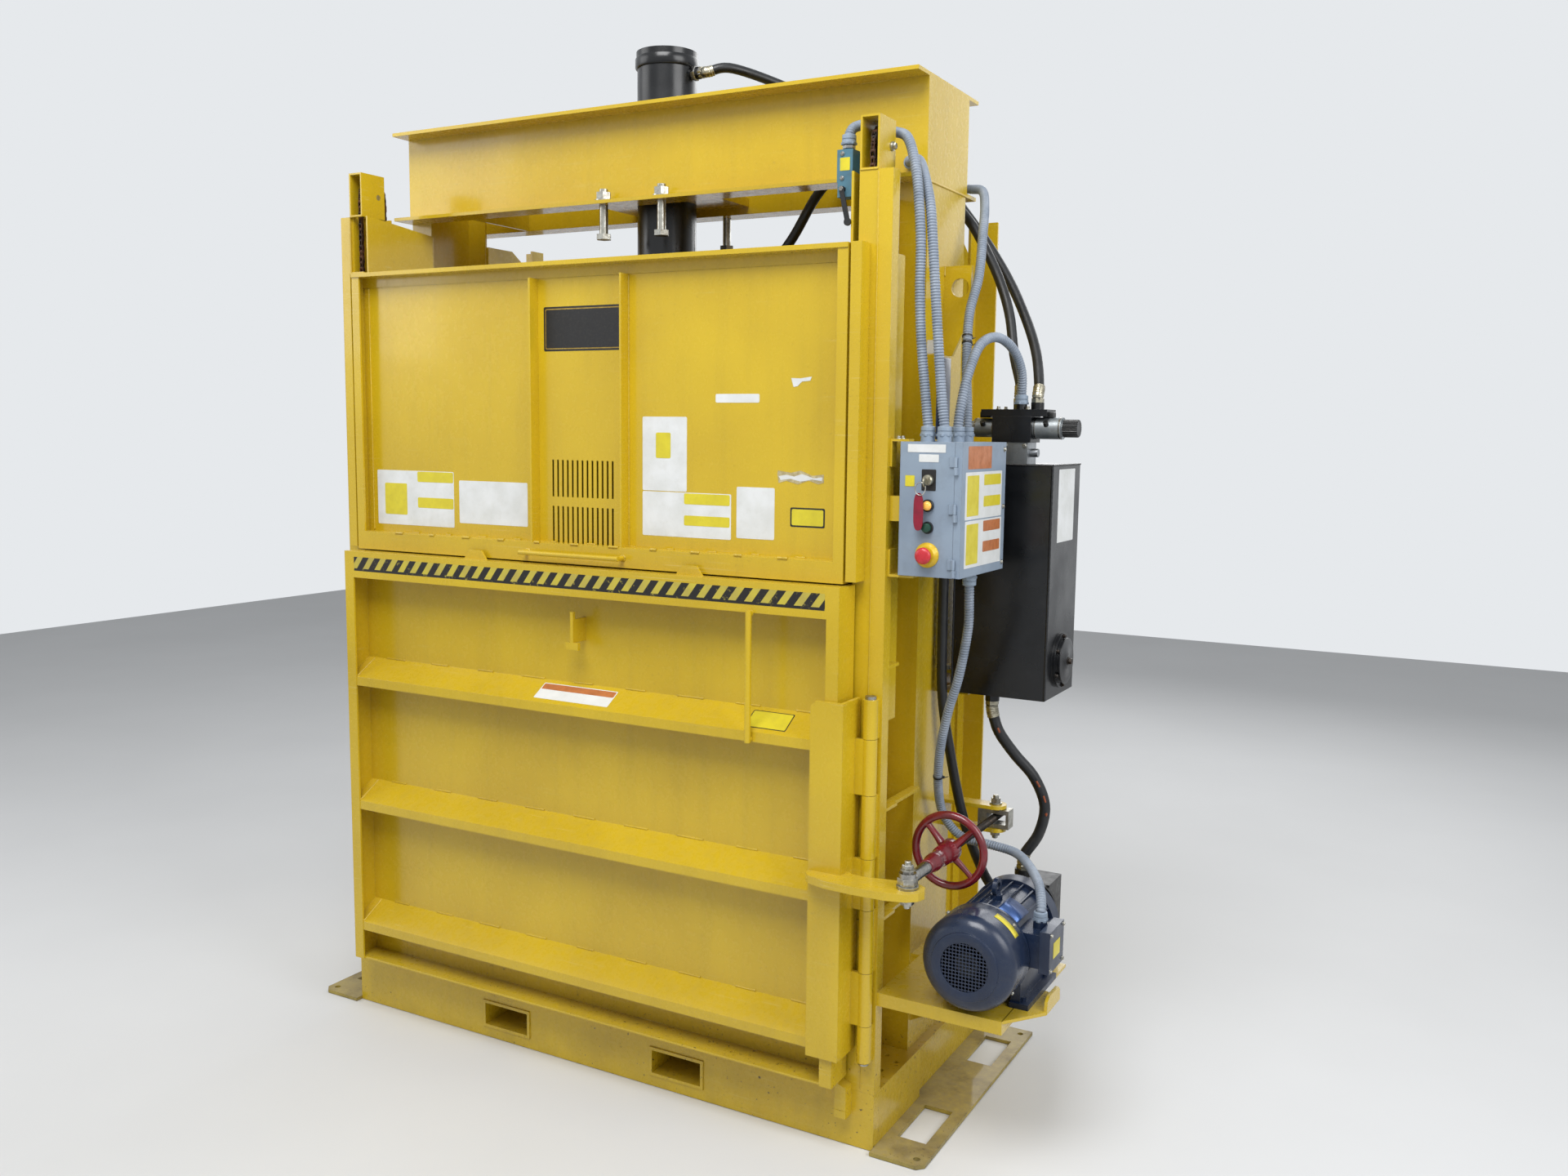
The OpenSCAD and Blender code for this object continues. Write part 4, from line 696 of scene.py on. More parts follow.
class BalerColours(bpy.types.PropertyGroup):
    """Colours of the surroundings."""

    floor: FloatVectorProperty(name="Floor", description="Colour of the pale floor", subtype="COLOR", size=3,
                               min=0, max=1, default=linear("#D9DADB"))
    sky: FloatVectorProperty(name="Surroundings", description="Colour of the light from all round",
                             subtype="COLOR", size=3, min=0, max=1, default=linear("#E6E9EC"))


# Operators


def posed(right, up, ahead, place):
    """The pose of a camera or lamp that looks ahead from a place: its columns are right, up and behind."""
    pose = Matrix(np.column_stack([right, up, -ahead]).tolist()).to_4x4()
    pose.translation = place
    return pose


class BALER_OT_camera(bpy.types.Operator):
    """Places the camera where the machine was looked at from"""

    bl_idname = "baler.camera"
    bl_label = "Camera"

    def execute(self, context):
        sizes = context.scene.baler_sizes
        az, el, roll = sizes.camera_azimuth, sizes.camera_elevation, sizes.camera_roll
        ahead = np.array([-math.sin(az) * math.cos(el), math.cos(az) * math.cos(el), -math.sin(el)])
        right = np.array([math.cos(az), math.sin(az), 0.0])
        up = np.cross(right, ahead)
        r = math.cos(roll) * right + math.sin(roll) * up
        u = -math.sin(roll) * right + math.cos(roll) * up
        data = bpy.data.cameras.new("camera")
        data.lens, data.sensor_width = sizes.camera_lens, 36.0
        camera = bpy.data.objects.new("camera", data)
        context.scene.collection.objects.link(camera)
        camera.matrix_world = posed(r, u, ahead, sizes.camera_place)
        context.scene.camera = camera
        return {"FINISHED"}


def gland(here, out):
    """A conduit's gland: a turned nut and dome on a hexagon grip."""
    nut = [(0, 12.2), (0, 17.5), (8, 17.5), (8.4, 16.2), (9.6, 16.2), (10, 17.2), (19, 16.8), (20.5, 15),
           (20.8, 12.4)]
    grip = [(-3, 12.4), (-3, 19.4), (2.5, 19.4), (3.4, 17.8)]
    return [lathe(nut, here, out, 20), lathe(grip, here, out, 6)]


def crimped_end(here, out, line, r):
    """A hose's end: a hexagon swivel nut, and a sleeve ringed every 6.4 mm that follows the hose, whose
    radius is r."""
    d = np.linspace(14, 44, 31)
    rings = np.stack([d, r + 1.9 - 0.7 * (np.sin(d * np.pi / 3.2) > 0.2)], 1)
    sleeve = np.vstack([[(13, r * 0.6), (13, r + 1.2)], rings, [(45, r + 0.3), (45.5, r * 0.9)]])
    swivel = [(-2, r * 0.5), (-2, r + 2.2), (-1, r + 3.0), (10, r + 3.0), (12, r + 1.8), (12.4, r * 0.6)]
    return [lathe(swivel, here, out, 6), carried(sleeve, spaced(line, 2.0)[0])]


def cable_tie(line, i):
    """A tie round point i of a line: a flat band, its square lock, and its cut tail."""
    out = unit(line[i + 1] - line[i - 1])
    side = unit(np.cross(out, (0, 0.3, 1)))
    lock = line[i] + side * 14.5
    tail = sweep([lock, lock + side * 5, lock + side * 14 + [0, -4, 5]], 1.1, 6)
    band = lathe([(-2.4, 12.0), (-2.4, 13.6), (2.4, 13.6), (2.4, 12.0)], line[i], out, 20)
    return [band, block(lock - 3.2, lock + 3.2, 0.8), tail]


class BALER_OT_cords(bpy.types.Operator):
    """Runs the corrugated conduits and the hydraulic hoses, with their glands, crimped ends and ties"""

    bl_idname = "baler.cords"
    bl_label = "Conduits and hoses"

    def execute(self, context):
        sizes = context.scene.baler_sizes
        rib = sizes.conduit_rib * 1000
        for name, points in ROUTES.items():
            line, ends = curve(points), []
            conduit = name.startswith("conduit")
            hose = sizes.suction_hose if name == "hose_suction" else sizes.hose
            wide = (sizes.conduit if conduit else hose) * 1000
            fine, s = spaced(line, rib / 4 if conduit else 7.0)
            dip = 2.2 * np.sin(np.pi * s / rib) ** 4 if conduit else 0.12 * np.sin(s / 3.1)
            run = piece(name + "_run", [sweep(fine, wide / 2 - dip, 16)],
                        "grey_conduit" if conduit else "hose_cover", "frame", (name,),
                        60 if conduit else 40)
            for end, way in ((1, 1), (2, -1)):
                inward = line[::way]
                out = unit(np.asarray(points[::way][1], float) - inward[0])
                if conduit:
                    ends.append(piece(f"{name}_gland_{end}", gland(inward[0], out), "grey_powder_coat",
                                      "frame", crease=25))
                else:
                    ends.append(piece(f"{name}_fitting_{end}", crimped_end(inward[0], out, inward, wide / 2),
                                      "crimped_steel", "frame", crease=25))
        tied = []
        for name, share in (("conduit_crown", 0.28), ("conduit_crown", 0.30), ("conduit_motor", 0.46)):
            line, _ = spaced(curve(ROUTES[name]), 1.0)
            tied += cable_tie(line, int(share * (len(line) - 1)))
        piece("cable_ties", tied, "black_moulding", "frame")
        # marks along the suction hose: the first's start, the last's before the end, the pitch and the length
        marks, first, last, pitch, long = [], 70, 60, 46, 21
        line, s = spaced(curve(ROUTES["hose_suction"]), 3.0)
        for low in np.arange(first, s[-1] - last, pitch):
            part = line[(s >= low) & (s <= low + long)]
            shift = unit(np.cross(np.gradient(part, axis=0), (0.9, 0.44, 0))) * 14.4
            marks.append(sweep(part + np.where(shift[:, 2:] > 0, shift, -shift) * [1, 1, 0] + [6, -10.5, 0],
                               2.6, 8))
        piece("suction_hose_marks", marks, "rust_mark", "frame")
        return {"FINISHED"}


class BALER_OT_paint(bpy.types.Operator):
    """Gives every CAD node its finish"""

    bl_idname = "baler.paint"
    bl_label = "Finishes"

    def execute(self, context):
        given = {node: name for name, nodes in PAINTED.items() for node in nodes}
        missing = sorted(set(frame["nodes"]) - set(given))
        if missing:
            raise RuntimeError(f"no finish for {missing}")
        for node, name in given.items():
            slots = frame["nodes"][node].data.materials
            for k in range(len(slots)):
                slots[k] = coat(name)
            if not len(slots):
                slots.append(coat(name))
        return {"FINISHED"}


def chain(joints, x):
    """Roller chain through joints (y, z): plates with two round ends and a waist on every link, inner and
    outer pairs in turn, a roller and a pin at each joint. One link's outline is (cos t (p / 2 + 5),
    5.6 sin t less a waist)."""
    joints = np.asarray(joints, float)
    middle, step = (joints[:-1] + joints[1:]) / 2, np.diff(joints, axis=0)
    pitch = np.linalg.norm(step, axis=1).mean()
    t = 2 * np.pi * np.arange(12) / 12
    s = np.cos(t) * (pitch / 2 + 5.0)
    outline = np.stack([s, 5.6 * np.sin(t) * (1 - 0.2 * np.exp(-((s / 4) ** 2)))], 1)
    heading = np.arctan2(step[:, 1], step[:, 0])
    turns = np.zeros((len(step), 3, 3))
    turns[:, 0, 0] = 1
    turns[:, 1, 1], turns[:, 1, 2] = np.cos(heading), -np.sin(heading)
    turns[:, 2, 1], turns[:, 2, 2] = np.sin(heading), np.cos(heading)
    places = np.insert(middle, 0, x, 1)
    made = []
    for first, near in ((0, 3.0), (1, 4.7)):
        for side in (-1, 1):
            plate = prism(outline, side * near, side * (near + 1.5), 0)
            made.append(copies(plate, places[first::2], turns[first::2]))
    spots = np.insert(joints, 0, x, 1)
    for half, r, sides in ((2.9, 4.9, 8), (6.9, 2.2, 6)):  # the roller, and the pin through it
        turned = lathe([(-half, 0), (-half, r), (half, r), (half, 0)], (0, 0, 0), RIGHT, sides)
        made.append(copies(turned, spots))
    return made


class BALER_OT_chains(bpy.types.Operator):
    """Lays the roller chains from the gate over the wheels to the counterweights"""

    bl_idname = "baler.chains"
    bl_label = "Chains"

    def execute(self, context):
        pitch = context.scene.baler_sizes.chain_pitch * 1000
        x, drop = 833.0, 943  # the chain's middle in its post, and its length from the axle down to the gate
        down = np.arange(0, drop + 0.1, drop / round(drop / pitch))
        front = chain(np.stack([np.full(len(down), WHEEL_Y - WHEEL_R), WHEEL_Z - down], 1), x)
        front += [block((x - 9, 13, 1540), (x + 9, 27, 1556), 2.0),
                  block((x - 6, 17, 1550), (x + 6, 23, 1572), 1.0)]
        run = piece("gate_chain_runs", front + mirrored(front), "oiled_chain_steel", None, ("gate_chains",),
                    50)
        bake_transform(run)
        a = np.pi * np.arange(10) / 9
        over = chain(np.stack([WHEEL_Y - WHEEL_R * np.cos(a), WHEEL_Z + WHEEL_R * np.sin(a)], 1), x)
        piece("chain_over_wheels", over + mirrored(over), "oiled_chain_steel", "frame", ("chain_wraps",),
              50)
        rear = chain([(WHEEL_Y + WHEEL_R, WHEEL_Z - k * pitch) for k in range(5)], x)
        rear.append(block((x - 8, 108, 2396), (x + 8, 118, 2420), 1.5))
        for name, body, part in (("right_weight_chain", "right_weight", rear),
                                 ("left_weight_chain", "left_weight", mirrored(rear))):
            run = piece(name, part, "oiled_chain_steel", None, ("weight_chains",), 50)
            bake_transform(run)
        return {"FINISHED"}


def plates(rows, place, across, up, corner):
    """(finish, plate) pairs from rows of (along, upward, width, height, finish, layer). place(along, upward,
    layer) gives a plate's middle."""
    return [(name, field(place(u, v, layer), across, up, (w, h), 0.28, corner))
            for u, v, w, h, name, layer in rows]


def by_finish(place, pairs, body):
    """One piece for each finish among (finish, surface) pairs, named for its place and finish."""
    for name in dict.fromkeys(name for name, _ in pairs):
        parts = [part for other, part in pairs if other == name]
        piece(f"{place}_{name}_fields", parts, name, body)


class BALER_OT_fields(bpy.types.Operator):
    """Sticks on the hazard tape and the plain fields of colour"""

    bl_idname = "baler.fields"
    bl_label = "Tape and colour fields"

    def execute(self, context):
        tape = field((0, -92.05, TAPE_Z), RIGHT, UP, (1562, TAPE_HIGH), 0.3, 1.0)
        piece("hazard_tape", [tape], "hazard_vinyl", "door")

        # on the gate: middle x and z, width, height, finish; each lies on the earlier ones under its middle
        gate = [(4, 2076, 262, 118, "black_vinyl"), (4, 2076, 252, 108, "gold_foil"),
                (4, 2076, 246, 102, "black_vinyl"),
                (-610, 1602, 300, 160, "white_vinyl"), (-531, 1665, 138, 30, "yellow_vinyl"),
                (-531, 1590, 138, 30, "yellow_vinyl"), (-686, 1598, 88, 92, "yellow_vinyl"),
                (-315, 1598, 250, 122, "white_vinyl"), (266, 1748, 138, 192, "white_vinyl"),
                (262, 1770, 46, 66, "yellow_vinyl"), (333, 1592, 272, 116, "white_vinyl"),
                (396, 1634, 138, 28, "yellow_vinyl"), (396, 1578, 138, 26, "yellow_vinyl"),
                (540, 1605, 110, 130, "white_vinyl"), (688, 1600, 96, 48, "black_vinyl"),
                (688, 1600, 88, 40, "yellow_vinyl"), (485, 1891, 128, 22, "white_vinyl")]
        layers = [sum(abs(x - g[0]) < g[2] / 2 and abs(z - g[1]) < g[3] / 2 for g in gate[:k])
                  for k, (x, z, *_) in enumerate(gate)]

        def on_gate(x, z, layer):
            return x, GATE_SHEET - PLATE * layer, z

        pairs = plates([(*row, layer) for row, layer in zip(gate, layers)], on_gate, RIGHT, UP, 4.0)
        # what is left of torn film and its backing: finish, how far it stands off, outline
        torn = [("paper_scrap", 0.2, [(602, 1706), (604, 1714), (640, 1709), (668, 1715), (700, 1703),
                                      (731, 1707), (732, 1687), (716, 1683), (690, 1691), (660, 1681),
                                      (628, 1689), (606, 1683)]),
                ("white_vinyl", 0.5, [(606, 1700), (628, 1704), (650, 1700), (672, 1707), (704, 1697),
                                      (728, 1700), (727, 1691), (700, 1694), (668, 1688), (640, 1694),
                                      (612, 1690)]),
                ("white_vinyl", 0.4, [(638, 1940), (664, 1939), (695, 1943), (691, 1933), (668, 1931),
                                      (656, 1920), (645, 1918), (641, 1930)])]
        pairs += [(name, prism(outline, GATE_SHEET - off - PLATE, GATE_SHEET - off, 1))
                  for name, off, outline in torn]
        by_finish("gate", pairs, "gate")

        # on the sloped top of the door's upper rib, which runs from (y -90, z + 26) to (y -12, z + 74)
        slope, foot, rib_z = unit((0, 78, 48)), np.array([0, -90, 26.0]), 1040
        lift = np.cross(RIGHT, slope)
        rib = [(2, 46, 250, 62, "white_vinyl", 0), (2, 63, 244, 22, "orange_vinyl", 1),
               (610, 46, 118, 62, "black_vinyl", 0), (610, 46, 113, 57, "yellow_vinyl", 1)]

        def on_rib(x, along, layer):
            return foot + slope * along + (x, 0, rib_z) + lift * (0.05 + PLATE * layer)

        by_finish("door", plates(rib, on_rib, RIGHT, slope, 3.0), "door")

        # on the control box: finish, middle x, distance in front, middle z, width, height, thickness, corner
        box = [("white_vinyl", 992, 0.3, 1775, 96, 19, 0.3, 1.5),
               ("white_vinyl", 998, 0.3, 1752, 50, 18, 0.3, 1.5),
               ("yellow_vinyl", 951, 0.3, 1698, 24, 26, 0.3, 1.5),
               ("black_vinyl", PANEL_X, 0.4, 1701, 36, 50, 0.5, 2.0)]
        pairs = [(name, field((x, PANEL_Y - off, z), RIGHT, UP, (w, h), thick, corner))
                 for name, x, off, z, w, h, thick, corner in box]
        by_finish("box", pairs, "frame")
        lid_x = float(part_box("control_box_lid")[1][0]) * 1000
        lid = [(123, 1754, 158, 54, "orange_vinyl", 0), (155, 1664, 250, 112, "white_vinyl", 0),
               (158, 1549, 250, 112, "white_vinyl", 0), (80, 1664, 78, 96, "yellow_vinyl", 1),
               (82, 1549, 78, 96, "yellow_vinyl", 1), (212, 1700, 118, 26, "yellow_vinyl", 1),
               (212, 1648, 118, 26, "yellow_vinyl", 1), (214, 1588, 118, 26, "orange_vinyl", 1),
               (214, 1538, 118, 26, "orange_vinyl", 1)]

        def on_lid(y, z, layer):
            return lid_x + 0.02 + PLATE * layer, y, z

        by_finish("lid", plates(lid, on_lid, BACK, UP, 3.0), "lid")

        for name, finish_name, middle, across, size, thick, corner in (
                ("tank_field", "white_vinyl", (1176.02, 520, 1626), BACK, (140, 190), 0.28, 3.0),
                ("junction_field", "white_vinyl", (885, 279.7, 2028), RIGHT, (26, 34), 0.4, 2.0),
                ("switch_field", "yellow_vinyl", (SWITCH_X, 7.8, 2440), RIGHT, (26, 30), 0.3, 1.5)):
            piece(name, [field(middle, across, UP, size, thick, corner)], finish_name, "frame")
        return {"FINISHED"}


class BALER_OT_controls(bpy.types.Operator):
    """Turns the push buttons, lamp, key switch and stop button of the control box"""

    bl_idname = "baler.controls"
    bl_label = "Controls"

    def execute(self, context):
        x, face = PANEL_X, PANEL_Y
        stop_z, start_z, lamp_z, key_z = 1524, 1589, 1641, 1701

        # profiles are rows of (distance in front, radius)
        stop = [(-14, 0), (-14, 8.5), (9, 8.5), (10.5, 11), (15, 13), (17, 18.4), (20, 20), (24.5, 19.6),
                (28, 16.5), (29.6, 11), (30, 5), (30, 0)]
        tip = BASE_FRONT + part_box("stop_button")[0].y * 1000
        piece("stop_head", [lathe(stop, (x, tip + 30, stop_z), FRONT, 48)], "red_moulding", "stop",
              ("stop_button",))
        ring = [(0, 14), (0, 30), (1.5, 30), (3.2, 29.2), (6, 25), (9, 22.4), (11.6, 21), (12, 15)]
        teeth = copies(block((-1.4, -0.8, 24.5), (1.4, 0.9, 28.6), 0.5),
                       np.tile([x, face - 3.4, stop_z], (24, 1)),
                       [np.array(Matrix.Rotation(2 * np.pi * k / 24, 3, "Y")) for k in range(24)])
        piece("stop_collar", [collar(ring, (x, face, stop_z), FRONT, 60), teeth], "yellow_moulding", "frame",
              ("stop_button_collar",))
        bezel = [(0, 11.3), (0, 14.6), (3.5, 14.6), (5.2, 13.4), (5.2, 11.3)]
        piece("start_bezel", [collar(bezel, (x, face, start_z), FRONT, 40)], "black_moulding", "frame")
        button = [(-14, 0), (-14, 10.6), (9.5, 10.9), (11.2, 10.2), (12, 8), (11.4, 0)]
        tip = BASE_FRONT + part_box("push_button")[0].y * 1000
        piece("start_head", [lathe(button, (x, tip + 12, start_z), FRONT, 36)], "green_moulding", "start",
              ("push_button",))
        holder = [(-16, 0), (-16, 10.5), (0, 10.5), (0, 14.8), (6, 14.8), (7.4, 13.6), (7.4, 11.2), (6, 11)]
        piece("lamp_holder", [lathe(holder, (x, face, lamp_z), FRONT, 40)], "black_moulding", "frame",
              ("pilot_light",))
        lens = [(4, 0), (4, 11.2), (8.5, 11), (13, 9.6), (15.6, 6), (16.4, 0)]
        piece("lamp_lens", [lathe(lens, (x, face, lamp_z), FRONT, 36)], "amber_lens", "frame")

        barrel = [(-24, 0), (-24, 10.2), (1, 10.2), (1, 13.6), (8, 13.4), (11, 12.2), (13.2, 10.5), (13.2, 0)]
        keyway = block((x - 1.2, face - 13.5, key_z - 7), (x + 1.2, face - 12.9, key_z + 7), 0.2)
        piece("key_barrel", [lathe(barrel, (x, face, key_z), FRONT, 40), keyway], "crimped_steel", "key",
              ("key_switch",))
        tip = BASE_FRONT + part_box("key_switch")[0].y * 1000
        blade = block((x - 1.1, max(tip, face - 22), key_z - 3.5), (x + 1.1, face - 12, key_z + 3.5), 0.5)
        a = np.linspace(0, 2 * np.pi, 13)[:-1]
        oval = np.stack([face - 26 + 8.5 * np.cos(a), key_z - 5 + 11 * np.sin(a)], 1)
        bow = prism(oval, x - 1.3, x + 1.3, 0)
        piece("key_bow", [blade, bow], "crimped_steel", "key")
        t = np.linspace(0, 2 * np.pi, 40)
        ring = np.stack([x - 11 + 13 * np.cos(t), face - 24 + 1.5 * np.sin(t),
                         key_z - 20 + 15 * np.sin(t)], 1)
        piece("key_ring", [sweep(ring, 1.2, 8)], "zinc_plate", "frame")
        # an oblong with full round ends: cos and sin, each raised to a power below 1
        t = np.linspace(0, 2 * np.pi, 32, endpoint=False)
        wave = np.stack([np.cos(t), np.sin(t)], 1)
        tag = np.sign(wave) * np.abs(wave) ** [0.8, 0.55] * [12, 44] + [x - 15, key_z - 74]
        piece("key_tag", [prism(tag, face - 24.5, face - 21.5, 1)], "tag_vinyl", "frame",
              crease=30)

        screws = heads([(1082, 292, z) for z in (1490, 1630, 1772)], RIGHT, 8, 3)
        piece("lid_screws", screws, "zinc_plate", "lid")
        nut = collar([(0, 11.8), (0, 15.4), (7, 15.4), (8.4, 13.6), (8.4, 11.8)],
                     (SWITCH_X, 28, SWITCH_Z + 96), UP, 6)
        bolts = heads([(758, 8, SWITCH_Z + rise) for rise in (26, 82)], FRONT, 7, 2.5)
        piece("switch_nut", [nut] + bolts, "bright_steel", "frame")
        hub = lathe([(-0.2, 0), (-0.2, 6), (1.0, 6), (1.5, 5.2), (1.5, 0)], (762, -6, SWITCH_Z), FRONT, 6)
        piece("lever_nut", [hub], "bright_steel", "switch_lever", crease=25)
        return {"FINISHED"}


def mesh_sheet(middles, level, step, hole):
    """A flat sheet of cells on the plane y = level, with a hole of eight sides in each: the hole's rim is
    joined to the cell's square, and a triangle fills each of the square's corners."""
    t = np.radians(22.5 + 45 * np.arange(8))
    rim = np.stack([hole * np.cos(t), hole * np.sin(t)], 1) * 1.06
    inner = np.array([[1, 0.42], [0.42, 1], [-0.42, 1], [-1, 0.42], [-1, -0.42], [-0.42, -1], [0.42, -1],
                      [1, -0.42]])
    outer = np.array([[1, 1], [-1, 1], [-1, -1], [1, -1]])
    flat = np.vstack([rim, inner * step / 2, outer * step / 2])
    faces = [[i, (i + 1) % 8, 8 + (i + 1) % 8, 8 + i] for i in range(8)]
    faces += [[8 + 2 * i, 9 + 2 * i, 16 + i] for i in range(4)]
    cell = np.stack([flat[:, 0], np.zeros(len(flat)), flat[:, 1]], 1), faces
    return copies(cell, np.insert(middles, 1, level, 1))


def thickened(thing, thickness, offset):
    """Gives an open sheet its thickness."""
    sheet = thing.modifiers.new("sheet", "SOLIDIFY")
    sheet.thickness, sheet.offset = thickness, offset


class BALER_OT_motor(bpy.types.Operator):
    """Makes the motor's fan cover with its square mesh of holes, its plates and its bolts"""

    bl_idname = "baler.motor"
    bl_label = "Motor"

    def execute(self, context):
        x, z = MOTOR_X, MOTOR_Z
        # the cover is one pressing: rows of (distance back, radius), out over the shoulder and back inside it
        outer = [(-37.2, 60), (-38, 61.5), (-38, 82), (-37, 84), (-33.4, 85.2), (-32.6, 87), (-29.5, 95),
                 (-24.5, 104), (-18, 111), (-11, 115.8), (-4, 118.5), (3, 119), (40, 119), (82.5, 119),
                 (84, 118), (84, 116.4)]
        inner = [(-2, 116), (-12, 111.5), (-20, 105), (-27, 94), (-30.2, 85), (-34.5, 80), (-34.5, 60)]
        step = 8.6
        k = (np.arange(15) - 7) * step
        gx, gz = np.meshgrid(k, k)
        keep = np.hypot(gx, gz) < 66
        mesh = mesh_sheet(np.stack([x + gx[keep], z + gz[keep]], 1), -35.5, step, 3.4)
        screws = []
        for a in (45, 135, 225, 315):
            out = (math.cos(math.radians(a)), 0, math.sin(math.radians(a)))
            screws += hexagon_head((x + 119.2 * out[0], 70, z + 119.2 * out[2]), out, 8, 3)
        piece("fan_cover", [collar(outer + inner, (x, 0, z), BACK, 72)], "motor_enamel", "frame",
              ("motor_fan_cover",))
        guard = piece("fan_guard", [mesh], "motor_enamel", "frame")
        thickened(guard, 0.0012, 0.0)
        piece("fan_cover_screws", screws, "zinc_plate", "frame")
        # curved plates: name, from and to along the shaft, radius, from and to in degrees, finish, slot
        for name, near, far, r, low, high, finish_name, slot in (
                ("motor_plate", 104, 190, 113.0, 44, 74, "blue_foil", "machined_aluminium"),
                ("cover_field", 38, 62, 119.2, 34, 68, "yellow_vinyl", "yellow_plastic")):
            a = np.radians(np.linspace(low, high, 12))
            arc = np.stack([x + r * np.cos(a), 0 * a, z + r * np.sin(a)], 1)
            sheet = lattice(np.stack([arc + [0, near, 0], arc + [0, far, 0]], 1), False, False)
            thickened(piece(name, [sheet], finish_name, "frame"), 0.0006, 1.0)
        screws = heads([(x + 168, y, z + rise) for y in (98, 194) for rise in (-22, 66)], RIGHT, 7, 3)
        piece("terminal_box_screws", screws, "zinc_plate", "frame")
        tongue = prism([(1220, 6), (1298, 110), (1298, 216), (1220, 244)], 412, 420)
        end = prism([(110, 413), (216, 413), (214, 440), (200, 452), (132, 454), (114, 444)], 1291, 1299, 0)
        piece("shelf_lip", [tongue, end], "yellow_enamel", "frame")
        plate = [field((x + 168.1, 146, z + 20), BACK, UP, (52, 40), 0.3, 2.0)]
        piece("terminal_field", plate, "yellow_vinyl", "frame")
        return {"FINISHED"}


class BALER_OT_power_unit(bpy.types.Operator):
    """Dresses the valve, the tank and the cylinder: knurled cap, plugs, bolts, welds and port elbows"""

    bl_idname = "baler.power_unit"
    bl_label = "Power unit"

    def execute(self, context):
        y, z = COILS_Y, COILS_Z
        # the cap: every third of its 72 facets is cut in where the radius is above 20
        t = 2 * np.pi * np.arange(72) / 72
        d = np.array([0, 0, 1.5, 37, 39.5, 39.5])[:, None]
        base = np.array([0, 21.5, 23, 23, 21.5, 0])[:, None]
        r = base * np.where(base > 20, np.where(np.arange(72) % 3 == 0, 0.93, 1.0), 1)
        cap = np.stack([1180 + d + 0 * t, y + r * np.cos(t), z + r * np.sin(t)], 2)
        piece("valve_cap", [lattice(cap)], "black_moulding", "frame", crease=30)
        wide = [(0, 24), (0, 28.4), (4, 28.8), (5, 27), (5, 24)]
        slim = [(0, 22), (0, 25.3), (4, 25.6), (5, 24), (5, 22)]
        rings = [collar(profile, (u, y, z), RIGHT, 36)
                 for profile, spots in ((wide, (1106, 1171)), (slim, (942, 992))) for u in spots]
        rings.append(lathe([(0, 0), (0, 12), (9, 12), (11, 9), (11, 0)], (909, y, z), RIGHT, 6))
        piece("coil_rings", rings, "bright_steel", "frame")
        plugs = []
        for u in (969, 1140):
            plugs += [block((u - 14, y - 13, z + 26), (u + 14, y + 13, z + 42), 2.5),
                      sweep([(u, y - 25, z + 8), (u, y - 33, z + 16)], [7, 6], 12)]
        piece("coil_plugs", plugs, "black_moulding", "frame")
        screws = heads([(u, v, 1874) for u in (1012, 1091) for v in (436, 494)], UP, 8, 6)
        screws += heads([(u, 430, 1780) for u in (1036, 1088)], FRONT, 8, 3)
        piece("valve_screws", screws, "zinc_plate", "frame")

        y, z = 514.5, 1214  # middle of the tank's cleaning cover
        dish = [(0, 20), (0, 62), (2, 61), (3.2, 50), (3.6, 24), (6, 20), (6, 0)]
        piece("tank_cover_dish", [lathe(dish, (1193.5, y, z), RIGHT, 60)], "black_enamel", "frame")
        around = [(1185, y + 65.5 * math.cos(a), z + 65.5 * math.sin(a))
                  for a in np.radians(30 + 60 * np.arange(6))]
        bolts = heads(around, RIGHT, 8, 4) + hexagon_head((1199, y, z), RIGHT, 15, 9)
        piece("tank_cover_bolts", bolts, "dark_bar_steel", "frame")
        seams = [bead([(1176, 392, 1124), (1176, 392, 1730)], 3.0),
                 bead([(920, 392, 1124), (920, 392, 1730)], 2.6),
                 bead([(922, 392, 1732), (1174, 392, 1732)], 2.4),
                 bead([(1176, 394, 1732), (1176, 635, 1732)], 2.4)]
        piece("tank_welds", seams, "black_enamel", "frame")
        ring = [(0, 84), (0, 89), (3, 91), (26, 91), (30, 89), (30, 84)]
        rings = [collar(ring, (0, RAM_Y, level), UP, 64) for level in (2070, 2830)]
        piece("cylinder_rings", rings, "black_enamel", "frame")
        union = [(0, 8), (0, 20), (3, 21), (12, 21), (14, 19), (14, 8)]
        elbow = [sweep(curve([(96, RAM_Y, 2812), (112, RAM_Y, 2812), (118, RAM_Y, 2813)]), 16.0, 6)]
        elbow += [lathe(union, (88, RAM_Y, level), RIGHT, 6) for level in (2812, 2150)]
        piece("port_elbows", elbow, "bright_steel", "frame")
        piece("junction_cover", [block((869, 281, 1794), (903, 371, 2004), 4.0)], "motor_enamel", "frame")
        return {"FINISHED"}


